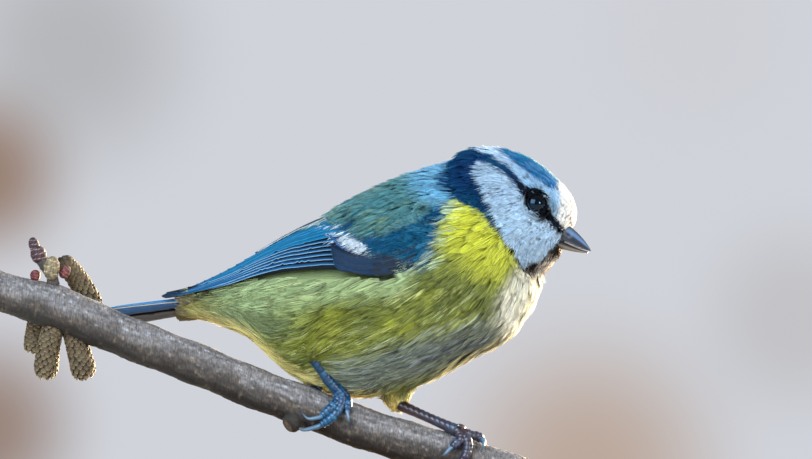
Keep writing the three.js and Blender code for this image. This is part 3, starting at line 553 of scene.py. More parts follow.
class Meshes:
    """Points, faces, colours and map places of many small shapes, gathered into one mesh."""

    def __init__(self) -> None:
        """Starts empty."""
        self.points: list[np.ndarray] = []
        self.faces: list[np.ndarray] = []
        self.colours: list[np.ndarray] = []
        self.uvs: list[np.ndarray] = []
        self.count = 0

    def ringed(self, rings: np.ndarray, colours: np.ndarray, uvs: np.ndarray | None = None) -> None:
        """Adds a closed shape through rings.

        Args:
            rings: Rings along the shape.
            colours: A colour for each of their points.
            uvs: A map place for each of their points.
        """
        if uvs is None:
            uvs = np.zeros(rings.shape[:2] + (2,))
        points, faces = loft(rings)
        self.add(points, faces, with_ends(np.broadcast_to(colours, rings.shape)), with_ends(uvs))

    def add(self, points: np.ndarray, faces: np.ndarray, colours: np.ndarray, uvs: np.ndarray) -> None:
        """Adds one shape.

        Args:
            points: Its points.
            faces: Its triangles.
            colours: One linear colour for each point.
            uvs: One map place for each point.
        """
        self.points.append(points)
        self.faces.append(faces + self.count)
        self.colours.append(np.broadcast_to(colours, (len(points), 3)))
        self.uvs.append(uvs)
        self.count += len(points)

    def piece(self, name: str, slot: str, material: bpy.types.Material,
              uv_name: str = "UVMap") -> bpy.types.Object:
        """Makes one object of all that was added.

        Args:
            name: The object's name.
            slot: The record's material slot; it is not used.
            material: Its material.
            uv_name: The name of its map.

        Returns:
            The object, riding on the model.
        """
        points, faces = np.concatenate(self.points), np.concatenate(self.faces)
        mesh = bpy.data.meshes.new(name)
        mesh.vertices.add(len(points))
        mesh.vertices.foreach_set("co", (points * MM).astype(np.float32).ravel())
        mesh.loops.add(faces.size)
        mesh.loops.foreach_set("vertex_index", faces.astype(np.int32).ravel())
        mesh.polygons.add(len(faces))
        mesh.polygons.foreach_set("loop_start", np.arange(0, faces.size, 3, dtype=np.int32))
        mesh.polygons.foreach_set("use_smooth", np.ones(len(faces), bool))
        mesh.update(calc_edges=True)
        paint(mesh, np.concatenate(self.colours))
        layer = mesh.uv_layers.new(name=uv_name)
        layer.data.foreach_set("uv", np.concatenate(self.uvs)[faces].astype(np.float32).ravel())
        mesh.materials.append(material)
        obj = bpy.data.objects.new(name, mesh)
        bpy.context.scene.collection.objects.link(obj)
        return settle(obj)


def settle(obj: bpy.types.Object) -> bpy.types.Object:
    """Lets an object ride on the model.

    Args:
        obj: A finished object.

    Returns:
        The same object.
    """
    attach(obj, "root")
    return obj


def with_ends(rings: np.ndarray) -> np.ndarray:
    """The rings' rows one after the other, then the first ring's mean and the last one's."""
    ends = (rings[i].mean(0)[None] for i in (0, -1))
    return np.concatenate([rings.reshape(-1, rings.shape[-1]), *ends])


def walls(count: int, sides: int) -> np.ndarray:
    """Triangles between rings that follow each other.

    Args:
        count: How many gaps between rings there are.
        sides: How many points a ring has.

    Returns:
        Rows of three points' numbers.
    """
    i, j = np.meshgrid(np.arange(count), np.arange(sides), indexing="ij")
    k = (j + 1) % sides
    a, b, c, d = i * sides + j, i * sides + k, (i + 1) * sides + j, (i + 1) * sides + k
    halves = np.stack([a, b, d], -1), np.stack([a, d, c], -1)
    return np.concatenate([half.reshape(-1, 3) for half in halves])


def loft(rings: np.ndarray) -> tuple:
    """A closed surface through rings of points.

    Args:
        rings: Rings along the shape, each a row of points round it.

    Returns:
        Points and triangles, facing outwards.
    """
    count, sides, _ = rings.shape
    points = with_ends(rings)
    j = np.arange(sides)
    k = (j + 1) % sides
    start = np.stack([np.full(sides, count * sides), k, j], 1)
    top = (count - 1) * sides
    end = np.stack([np.full(sides, count * sides + 1), top + j, top + k], 1)
    faces = np.concatenate([walls(count - 1, sides), start, end])
    p, q, r = (points[faces[:, n]] - points.mean(0) for n in range(3))
    if (np.cross(p, q) * r).sum() < 0:
        faces = faces[:, ::-1]
    return points, faces


def tube_rings(path: np.ndarray, radii: np.ndarray, up: np.ndarray | tuple = (0, 0, 1)) -> np.ndarray:
    """Rings round a path.

    Args:
        path: Points along the middle.
        radii: A radius for each, or a row of them for the points of its ring.
        up: The way that the ring's first point looks, as far as it can, for all rings or for each.

    Returns:
        The rings.
    """
    along = unit(np.gradient(path, axis=0))
    side = unit(np.cross(along, np.asarray(up, float)))
    top = np.cross(side, along)
    angle = ring_angles(radii.shape[1])
    ring = top[:, None] * np.cos(angle)[None, :, None] + side[:, None] * np.sin(angle)[None, :, None]
    return path[:, None] + ring * radii[..., None]


def ring_angles(sides: int) -> np.ndarray:
    """Angles evenly round a ring, in radians."""
    return np.linspace(0, 2 * np.pi, sides, endpoint=False)


def rounded(share: np.ndarray, start: float, reach: float, least: float) -> np.ndarray:
    """How a shape's width closes like a ball towards its end.

    Args:
        share: Places along the shape.
        start: Where the rounding begins.
        reach: How far on it would come to nothing.
        least: The smallest square of the width.

    Returns:
        A share of the width for each place.
    """
    return np.sqrt(np.clip(1 - np.clip((share - start) / reach, 0, 1) ** 2, least, 1))


def two_faced(upper: np.ndarray, lower: np.ndarray | None = None) -> np.ndarray:
    """Numbers across a vane's upper face, then back across its lower one."""
    return np.concatenate([upper, (upper if lower is None else lower)[..., ::-1]], -1)


def path_length(path: np.ndarray) -> np.ndarray:
    """How far along a path each of its points is."""
    return np.concatenate([[0], np.cumsum(np.linalg.norm(np.diff(path, axis=0), axis=1))])


def stops(value: np.ndarray, rows: list) -> np.ndarray:
    """Colours read from a ramp.

    Args:
        value: Where to read it.
        rows: A place and a colour for each stop.

    Returns:
        A colour for each value.
    """
    places = [row[0] for row in rows]
    return np.stack([np.interp(value, places, [row[1][c] for row in rows]) for c in range(3)], -1)


def spline(points: list, count: int) -> np.ndarray:
    """A smooth path through points.

    Args:
        points: Two or more places.
        count: How many points the path gets.

    Returns:
        The path.
    """
    corners = np.array(points, float)
    keys = np.arange(len(corners))[:, None]
    curve = Curve(np.concatenate([keys, corners], 1).tolist())
    return np.atleast_2d(curve(np.linspace(0, len(corners) - 1, count)))


def mode(name: str) -> None:
    """Puts the active object in a mode."""
    bpy.ops.object.mode_set(mode=name)


def node_copy(names: tuple, name: str) -> bpy.types.Object:
    """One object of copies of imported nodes, each merged into whole surfaces.

    Args:
        names: The nodes.
        name: The new object's name.

    Returns:
        The object, selected and active.
    """
    bpy.ops.object.select_all(action="DESELECT")
    for node in names:
        copied = bpy.data.objects.new(node + "_copy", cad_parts[node].data.copy())
        bpy.context.scene.collection.objects.link(copied)
        copied.select_set(True)
        bpy.context.view_layer.objects.active = copied
    if len(names) > 1:
        bpy.ops.object.join()
    obj = bpy.context.view_layer.objects.active
    obj.name = name
    obj.data.materials.clear()
    mode("EDIT")
    bpy.ops.mesh.select_all(action="SELECT")
    bpy.ops.mesh.remove_doubles(threshold=0.02 * MM)
    mode("OBJECT")
    return obj


def modified(obj: bpy.types.Object, *steps: tuple) -> bpy.types.Object:
    """Adds modifiers one after the other and applies each.

    Args:
        obj: The active object.
        steps: A modifier's kind and its settings, for each.

    Returns:
        The same object.
    """
    for kind, settings in steps:
        bpy.ops.object.modifier_add(type=kind)
        modifier = obj.modifiers[-1]
        for key, value in settings.items():
            setattr(modifier, key, value)
        bpy.ops.object.modifier_apply(modifier=modifier.name)
    return obj


class Graph:
    """A node tree, built with short calls."""

    def __init__(self, tree: bpy.types.NodeTree) -> None:
        """Keeps the tree."""
        self.tree = tree

    def node(self, kind: str, values: dict | None = None, **settings: object) -> bpy.types.Node:
        """Adds a node.

        Args:
            kind: Its type without the leading ShaderNode.
            values: Constants or sockets for its inputs.
            settings: Its properties.

        Returns:
            The node.
        """
        made = self.tree.nodes.new("ShaderNode" + kind)
        for key, value in settings.items():
            setattr(made, key, value)
        for key, value in (values or {}).items():
            self.put(made.inputs[key], value)
        return made

    def math(self, operation: str, *values: object) -> bpy.types.NodeSocket:
        """A number worked out from others."""
        return self.node("Math", dict(enumerate(values)), operation=operation).outputs[0]

    def toned(self, colour: bpy.types.NodeSocket, tone: bpy.types.NodeSocket) -> bpy.types.NodeSocket:
        """A colour made lighter or darker by a number."""
        return self.node("VectorMath", {0: colour, "Scale": tone}, operation="SCALE").outputs["Vector"]

    def put(self, socket: bpy.types.NodeSocket, value: object) -> None:
        """Links an output or sets a constant.

        Args:
            socket: The input that gets it.
            value: The output or the constant.
        """
        if isinstance(value, bpy.types.NodeSocket):
            self.tree.links.new(value, socket)
        else:
            socket.default_value = value


class Group(Graph):
    """An effect that several materials share: named inputs, and a colour and a height made of them."""

    def __init__(self, name: str, inputs: dict) -> None:
        """Makes its sockets.

        Args:
            name: The group's name.
            inputs: Each input's kind and its default.
        """
        super().__init__(bpy.data.node_groups.new(name, "ShaderNodeTree"))
        for label, (kind, default) in inputs.items():
            socket = self.tree.interface.new_socket(label, in_out="INPUT", socket_type="NodeSocket" + kind)
            if default is not None:
                socket.default_value = default
        for label, kind in (("Colour", "Color"), ("Height", "Float")):
            self.tree.interface.new_socket(label, in_out="OUTPUT", socket_type="NodeSocket" + kind)
        self.given = self.tree.nodes.new("NodeGroupInput").outputs
        self.result = self.tree.nodes.new("NodeGroupOutput").inputs


class Finish(Graph):
    """A material with a Principled shader."""

    def __init__(self, name: str) -> None:
        """Makes the material.

        Args:
            name: Its name.
        """
        self.material = bpy.data.materials.new(name)
        self.material.use_nodes = True
        super().__init__(self.material.node_tree)
        self.shader = self.tree.nodes["Principled BSDF"]

    def set(self, **inputs: object) -> "Finish":
        """Sets the shader's inputs.

        Args:
            inputs: Constants or outputs, named with _ for a space.

        Returns:
            The finish itself.
        """
        for key, value in inputs.items():
            self.put(self.shader.inputs[key.replace("_", " ")], value)
        return self

    def relief(self, height: bpy.types.NodeSocket, strength: float, depth: float) -> "Finish":
        """Bumps the surface by a height, depth being in millimetres."""
        bump = self.node("Bump", {"Height": height, "Strength": strength, "Distance": depth * MM})
        return self.set(Normal=bump.outputs["Normal"])


class Look(Enum):
    """Every material of the model, by its finish."""

    COAT = "Coat"
    VANE = "Vane"
    TAIL_VANE = "Tail vane"
    SKIN = "Skin"
    BILL = "Bill"
    EYE = "Eye"
    LEG = "Leg scales"
    CLAW = "Claw"
    BARK = "Bark"
    CATKIN = "Catkin"
    WOOD = "Stand wood"
    BRASS = "Stand brass"


@dataclass(frozen=True)
class Painted:
    """A finish in a piece's own colours, varied by grain, with barbs and relief where it has them."""

    # How much lighter and darker the grain makes it, and the grain's scale for each metre
    variation: float
    grain: float
    # The shader's constants, named with _ for a space
    constants: dict
    # The relief's strength and its depth in millimetres
    relief: tuple = ()
    # Barbs for each millimetre and how dark the painted shade in the gaps between them is
    barbs: tuple = ()


class Finishes:
    """All materials, each made once."""

    PAINTED = {
        Look.COAT: Painted(0.12, 900.0, {
            "Roughness": 0.65, "Specular_IOR_Level": 0.08, "Subsurface_Weight": 0.25,
            "Subsurface_Radius": (1.0, 0.85, 0.5), "Subsurface_Scale": 0.0012}),
        Look.VANE: Painted(0.12, 600.0, {"Roughness": 0.5, "Specular_IOR_Level": 0.16}, (0.4, 0.05), (4.0, 0.22)),
        Look.TAIL_VANE: Painted(0.12, 600.0, {"Roughness": 0.55, "Specular_IOR_Level": 0.1},
                                (0.4, 0.05), (3.2, 0.28)),
        Look.SKIN: Painted(0.2, 400.0, {"Roughness": 0.9, "Specular_IOR_Level": 0.1}),
        Look.BILL: Painted(0.08, 700.0, {"Roughness": 0.4, "Specular_IOR_Level": 0.3}, (0.25, 0.05)),
        # The eye's reflections of the lamps are tinted blue as a painted sky reflection
        Look.EYE: Painted(0.15, 1500.0, {
            "Roughness": 0.05, "Specular_IOR_Level": 0.4, "Specular_Tint": (0.3, 0.62, 1.0, 1)}),
        Look.LEG: Painted(0.12, 1800.0, {"Roughness": 0.3, "Specular_IOR_Level": 0.5}, (0.3, 0.04)),
        Look.CLAW: Painted(0.1, 900.0, {"Roughness": 0.3}),
        Look.BARK: Painted(0.75, 1500.0, {"Roughness": 0.75}),
        Look.CATKIN: Painted(0.2, 1800.0, {"Roughness": 0.8}, (0.5, 0.08)),
    }

    def __init__(self) -> None:
        """Builds the shared groups, then the materials."""
        self.grain = self.grain_group()
        self.barbs = self.barbs_group()
        self.made = {look: self.painted(look)[0].material for look in self.PAINTED if look is not Look.BARK}
        self.made |= {Look.BARK: self.bark(), Look.WOOD: self.wood(), Look.BRASS: self.brass()}

    def __getitem__(self, look: Look) -> bpy.types.Material:
        """One of the materials."""
        return self.made[look]

    @staticmethod
    def grain_group() -> Group:
        """A colour varied by soft noise, with the noise as a height.

        Returns:
            The group.
        """
        g = Group("Fine grain", {
            "Place": ("Vector", None), "Colour": ("Color", (1, 1, 1, 1)), "Size": ("Float", 500.0),
            "Variation": ("Float", 0.1),
        })
        speck = g.node("TexNoise", {"Vector": g.given["Place"], "Scale": g.given["Size"], "Detail": 2.0})
        low, high = (g.math(way, 1.0, g.given["Variation"]) for way in ("SUBTRACT", "ADD"))
        tone = g.node("MapRange", {"Value": speck.outputs["Fac"], "To Min": low, "To Max": high})
        g.put(g.result["Colour"], g.toned(g.given["Colour"], tone.outputs["Result"]))
        g.put(g.result["Height"], speck.outputs["Fac"])
        return g

    @staticmethod
    def barbs_group() -> Group:
        """The slanting barbs to both sides of a feather's shaft, from its map in millimetres, with painted shade in
        the gaps between them.

        Returns:
            The group.
        """
        g = Group("Barbs", {
            "Map": ("Vector", None), "Colour": ("Color", (1, 1, 1, 1)), "Barbs a millimetre": ("Float", 3.0),
            "Slant": ("Float", 1.0), "Depth": ("Float", 0.3),
        })
        xyz = g.node("SeparateXYZ", {"Vector": g.given["Map"]}).outputs
        slanted = g.math("MULTIPLY", g.math("ABSOLUTE", xyz["X"]), g.given["Slant"])
        along = g.math("SUBTRACT", xyz["Y"], slanted)
        turns = g.math("MULTIPLY", g.given["Barbs a millimetre"], 2 * math.pi)
        wave = g.math("SINE", g.math("MULTIPLY", along, turns))
        height = g.node("MapRange", {"Value": wave, "From Min": -1.0, "From Max": 1.0}).outputs["Result"]
        # The colour is darkened between the barbs as painted shade in their grooves
        low = g.math("SUBTRACT", 1.0, g.given["Depth"])
        tone = g.node("MapRange", {"Value": height, "To Min": low, "To Max": 1.0}).outputs["Result"]
        g.put(g.result["Colour"], g.toned(g.given["Colour"], tone))
        g.put(g.result["Height"], height)
        return g

    def painted(self, look: Look) -> tuple[Finish, bpy.types.Node]:
        """A finish of the table.

        Args:
            look: Which one.

        Returns:
            The finish, and the node that its colour and height come from.
        """
        plan = self.PAINTED[look]
        f = Finish(look.value)
        own = f.node("Attribute", attribute_name="Plumage").outputs["Color"]
        values = {"Place": f.node("TexCoord").outputs["Object"], "Colour": own, "Size": plan.grain,
                  "Variation": plan.variation}
        last = f.node("Group", values, node_tree=self.grain.tree)
        if plan.barbs:
            values = {"Map": f.node("UVMap", uv_map="UVMap").outputs["UV"], "Colour": last.outputs["Colour"],
                      "Barbs a millimetre": plan.barbs[0], "Depth": plan.barbs[1]}
            last = f.node("Group", values, node_tree=self.barbs.tree)
        f.set(Base_Color=last.outputs["Colour"], **plan.constants)
        if plan.relief:
            f.relief(last.outputs["Height"], *plan.relief)
        return f, last

    def bark(self) -> bpy.types.Material:
        """Bark: fine flakes over faint cross wrinkles.

        Returns:
            The material.
        """
        f, grain = self.painted(Look.BARK)
        where = f.node("TexCoord").outputs["Object"]
        cross = f.node("Mapping", {"Vector": where, "Scale": (3200.0, 500.0, 900.0)}).outputs["Vector"]
        lines = f.node("TexNoise", {"Vector": cross, "Scale": 1.0, "Detail": 3.0, "Roughness": 0.7}).outputs["Fac"]
        tone = f.node("MapRange", {"Value": lines, "From Min": 0.3, "From Max": 0.7, "To Min": 0.4, "To Max": 1.5})
        f.set(Base_Color=f.toned(grain.outputs["Colour"], tone.outputs["Result"]))
        return f.relief(f.math("ADD", grain.outputs["Height"], lines), 0.7, 0.15).material

    def wood(self) -> bpy.types.Material:
        """Dark polished wood with grain along X.

        Returns:
            The material.
        """
        f = Finish(Look.WOOD.value)
        where = f.node("TexCoord").outputs["Object"]
        long = f.node("Mapping", {"Vector": where, "Scale": (6.0, 90.0, 90.0)}).outputs["Vector"]
        grain = f.node("TexNoise", {"Vector": long, "Scale": 4.0, "Detail": 6.0, "Distortion": 0.6})
        ramp = f.node("ValToRGB", {"Fac": grain.outputs["Fac"]})
        ramp.color_ramp.elements[0].color = (0.018, 0.008, 0.004, 1)
        ramp.color_ramp.elements[1].color = (0.12, 0.055, 0.024, 1)
        values = {"Place": where, "Colour": ramp.outputs["Color"], "Size": 700.0, "Variation": 0.12}
        fine = f.node("Group", values, node_tree=self.grain.tree)
        f.set(Base_Color=fine.outputs["Colour"], Roughness=0.38, Coat_Weight=0.3)
        return f.relief(grain.outputs["Fac"], 0.15, 0.2).material

    def brass(self) -> bpy.types.Material:
        """Satin brass with fine turning marks and a little tarnish.

        Returns:
            The material.
        """
        f = Finish(Look.BRASS.value)
        where = f.node("TexCoord").outputs["Object"]
        values = {"Place": where, "Colour": (0.62, 0.43, 0.16, 1), "Size": 260.0, "Variation": 0.18}
        tarnish = f.node("Group", values, node_tree=self.grain.tree)
        rings = f.node("Mapping", {"Vector": where, "Scale": (40.0, 40.0, 4000.0)}).outputs["Vector"]
        marks = f.node("TexNoise", {"Vector": rings, "Scale": 1.0, "Detail": 3.0}).outputs["Fac"]
        rough = f.node("MapRange", {"Value": marks, "To Min": 0.2, "To Max": 0.42}).outputs["Result"]
        f.set(Base_Color=tarnish.outputs["Colour"], Metallic=1.0, Roughness=rough)
        return f.relief(marks, 0.1, 0.05).material


@dataclass
class Body:
    """Skin and coat of torso, neck, head and thighs, and of the wings' soft front."""

    finishes: Finishes
    plumage: Plumage = field(default_factory=Plumage)
    sparse: float = 1.0

    # A feather's length by its distance from the bill's root
    LENGTH = Curve([[0, 0.9], [5, 1.3], [12, 1.9], [20, 2.6], [27, 4.0], [36, 6.0], [50, 7.4], [100, 7.6]])
    BREAST = 5.2
    COVERT = 2.4
    # Feathers shorter than this are the small tufts of head and coverts
    SMALL = 3.0
    VOXEL = 0.55
    # How far the skin's markings are darkened, as painted shade seen between the tufts
    SKIN_PAINTED_SHADOW = 0.5

    def build(self) -> None:
        """Makes the skin, then the coat on a guide surface that runs over the wings too."""
        self.skin = self.make_skin()
        guide = self.remeshed(FLESH + ("wing_left", "wing_right"), "guide", 1.1, 0.0)
        self.guide = Surface(guide)
        bpy.data.objects.remove(guide)
        self.make_coat()

    @staticmethod
    def remeshed(names: tuple, name: str, swell: float, depth: float) -> bpy.types.Object:
        """One even surface round nodes.

        Args:
            names: The nodes.
            name: The new object's name.
            swell: How far it is widened first and drawn in again, which closes narrow grooves.
            depth: How far it lies inside them.

        Returns:
            The object.
        """
        return modified(
            node_copy(names, name),
            ("DISPLACE", {"strength": swell * MM, "mid_level": 0.0}),
            ("REMESH", {"mode": "VOXEL", "voxel_size": Body.VOXEL * MM}),
            ("SMOOTH", {"factor": 0.5, "iterations": 5}),
            ("DISPLACE", {"strength": -(swell + depth) * MM, "mid_level": 0.0}),
        )

    def make_skin(self) -> bpy.types.Object:
        """The skin under the coat, unwrapped and coloured with the same markings, darkened by half as painted shade
        between the tufts.

        Returns:
            The skin.
        """
        obj = self.remeshed(FLESH, "skin", 0.3, COAT_DEPTH)
        bpy.ops.object.shade_smooth()
        mode("EDIT")
        bpy.ops.mesh.select_all(action="SELECT")
        bpy.ops.uv.smart_project(angle_limit=math.radians(66), island_margin=0.002)
        mode("OBJECT")
        obj.data.uv_layers[0].name = BAKE_MAP
        points = Surface(obj).points
        rng = np.random.default_rng(SEED)
        paint(obj.data, self.plumage.colours(points, rng.random(len(points)), rng) * self.SKIN_PAINTED_SHADOW)
        obj.data.materials.append(self.finishes[Look.SKIN])
        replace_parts(settle(obj), *FLESH)
        return obj

    def root_places(self, roots: np.ndarray) -> np.ndarray:
        """Places of roots on the skin's unwrap.

        Args:
            roots: Points near the skin.

        Returns:
            Map places.
        """
        mesh = self.skin.data
        _, _, index = Surface(self.skin).nearest(roots)
        loops = read(mesh.loop_triangles, "loops", 3, np.int32)
        return read(mesh.uv_layers[BAKE_MAP].data, "uv", 2)[loops[index]].mean(1)

    def feather_room(self, points: np.ndarray) -> np.ndarray:
        """Where soft feathers grow: not on eyes and bill, nor on the wings' own vanes.

        Args:
            points: Points of the guide surface.

        Returns:
            True for each point with feathers.
        """
        bird, side, *_ = self.plumage.frames(points)
        head = HEAD.into(bird)
        eye = np.hypot(head[:, 0] - 6.8, head[:, 2] - 3.9)
        grows = ~((eye < 2.2) & (np.abs(head[:, 1]) > 6))
        grows &= ~((head[:, 0] > 12.6) & (np.hypot(head[:, 1] / 3.0, (head[:, 2] - 0.1) / 3.3) < 1))
        grows &= bird[:, 0] > -46.5
        return grows & ~(self.wing_share(bird) & ~self.wing_front(side))

    @staticmethod
    def wing_share(bird: np.ndarray) -> np.ndarray:
        """Whether points lie on a folded wing.

        Args:
            bird: Points in the bird's frame.

        Returns:
            True for each point on it.
        """
        x = bird[:, 0]
        middle, width, height, _ = Wing.BED(x).T
        lower, upper = Wing.OUTLINE(x).T
        across, over = np.abs(bird[:, 1]) / width, (bird[:, 2] - middle) / height
        angle = np.degrees(np.arctan2(over, across))
        lift = (np.hypot(across, over) - 1) * np.minimum(width, height)
        inside = (angle > lower - 3) & (angle < upper + 1) & (lift > -1.2)
        return inside & (x > -54) & (x < 15.5)

    @staticmethod
    def wing_front(side: np.ndarray) -> np.ndarray:
        """Whether points on the side view lie on the white bar or the soft coverts before it."""
        x, z = side[:, 0], side[:, 1]
        before_bar = x > np.interp(-z, [-73.7, -66.0], [-5.4, 3.6])
        return before_bar & ((z > 66.0) | (x > 13.5))

    def feather_length(self, points: np.ndarray, bill: np.ndarray) -> np.ndarray:
        """How long the feathers are: short on face and wing, long on breast and belly.

        Args:
            points: Rows in the model's frame.
            bill: The bill's root.

        Returns:
            Millimetres for each point.
        """
        bird, side, around, height, reach = self.plumage.frames(points)
        length = self.LENGTH(np.linalg.norm(points - bill, axis=1))
        _, cover = self.plumage.head_colours(around, height, np.full(len(points), 0.5))
        on_head = cover * smooth(*HEAD_EDGE, reach)
        breast = (1 - on_head) * (side[:, 0] > 24) * (side[:, 1] < 80)
        length = length + (np.maximum(length, self.BREAST) - length) * breast
        length = np.minimum(length, 1.6 + 0.5 * np.maximum(bird[:, 0] + 50, 0))
        knee = np.hypot(points[:, 0] - 12.6, points[:, 2] - 31.5)
        length = np.minimum(length, 0.8 + 0.55 * knee)
        mantle = side[:, 1] > self.plumage.MANTLE_EDGE(side[:, 0])
        length = length * (1 - 0.3 * mantle * (1 - on_head))
        wing = self.wing_share(bird) & (side[:, 0] > -8)
        return np.where(wing, np.minimum(length, self.COVERT), length)

    def make_coat(self) -> None:
        """Grows the tufts, region by region, into pieces of limited size."""
        rng = np.random.default_rng(SEED)
        bill = from_head(np.array([[12.0, 0, -0.5]]))[0]
        length = self.feather_length(self.guide.points, bill)
        room = self.feather_room(self.guide.points)
        thick = np.where(length < self.SMALL, 12.0 / length**1.35, 5.9 / length**1.3)
        density = self.sparse * room * thick
        strands = Strands(self.guide, self.plumage, room * 3.4 / length, length * 1.1, rng)
        roots, normals = self.guide.draw(density, rng)
        keep = self.feather_room(roots)
        roots, normals = roots[keep], normals[keep]
        order = np.argsort(BIRD.into(roots)[:, 0])
        roots, normals = roots[order], normals[order]
        length = self.feather_length(roots, bill)
        small = length < self.SMALL
        length = length * rng.uniform(0.8, 1.15, len(roots))
        uv = self.root_places(roots - normals * COAT_DEPTH)
        fine = TuftStyle(5, (0, 0.5, 1), 0.17, 0.30, (0.3, 0.85, 1.0, 0.9), 0.1, 0.08)
        loose = TuftStyle(15, (0, 0.4, 0.75, 1), 0.155, 0.15, (0.5, 1.0, 0.95, 0.75), 0.17, 0.15)
        for name, slot, chosen, style in (
            ("coat_head", "head_feathers", small, fine),
            ("coat_body", "body_feathers", ~small, loose),
        ):
            tufts = Tufts(style, self.guide, self.plumage, strands, rng)
            per_tuft = style.barbs * (len(style.stations) - 2) * 6 + style.barbs * 4
            group = max(1, PIECE_LIMIT // per_tuft)
            index = np.flatnonzero(chosen)
            for number, start in enumerate(range(0, len(index), group)):
                part = index[start : start + group]
                meshes = Meshes()
                tufts.grow(meshes, roots[part], normals[part], length[part], uv[part])
                meshes.piece(f"{name}_{number + 1}", slot, self.finishes[Look.COAT], BAKE_MAP)
            LOG.info("%s: %d tufts", name, len(index))


class Strands:
    """Long fine streaks along the lie of the feathers, each with its own tone."""

    STEPS = 8

    def __init__(self, guide: Surface, plumage: Plumage, density: np.ndarray, reach: np.ndarray,
                 rng: np.random.Generator) -> None:
        """Traces the streaks.

        Args:
            guide: The surface that they run on.
            plumage: The lie of the feathers.
            density: Streaks for each square millimetre at the surface's points.
            reach: How long they are at the surface's points.
            rng: Source of chance.
        """
        place, normal = guide.draw(density, rng)
        _, _, index = guide.nearest(place)
        step = reach[guide.triangles[index]].mean(1) / self.STEPS
        self.tree = KDTree(len(place) * self.STEPS)
        for _ in range(self.STEPS):
            for i, p in enumerate(place.tolist()):
                self.tree.insert(p, i)
            place, normal, _ = guide.nearest(place + plumage.lie(place, normal) * step[:, None])
        self.tree.balance()
        count = int(index.size)
        self.tone = np.clip(rng.normal(1.0, 0.12, count), 0.6, 1.5)
        self.pale = rng.random(count)

    def at(self, points: np.ndarray) -> tuple[np.ndarray, np.ndarray]:
        """The nearest streak's tone and chance value for each point."""
        index = np.array([self.tree.find(p)[1] for p in points.tolist()])
        return self.tone[index], self.pale[index]


@dataclass(frozen=True)
class TuftStyle:
    """How a tuft is made.

    Its barbs, the stations along them, a barb's width, the tuft's half width by its length and how
    that opens along it, how far tufts stand off by chance, and how much their barbs' tones differ.
    """

    barbs: int
    stations: tuple
    barb_width: float
    spread: float
    fan: tuple
    lift: float
    contrast: float


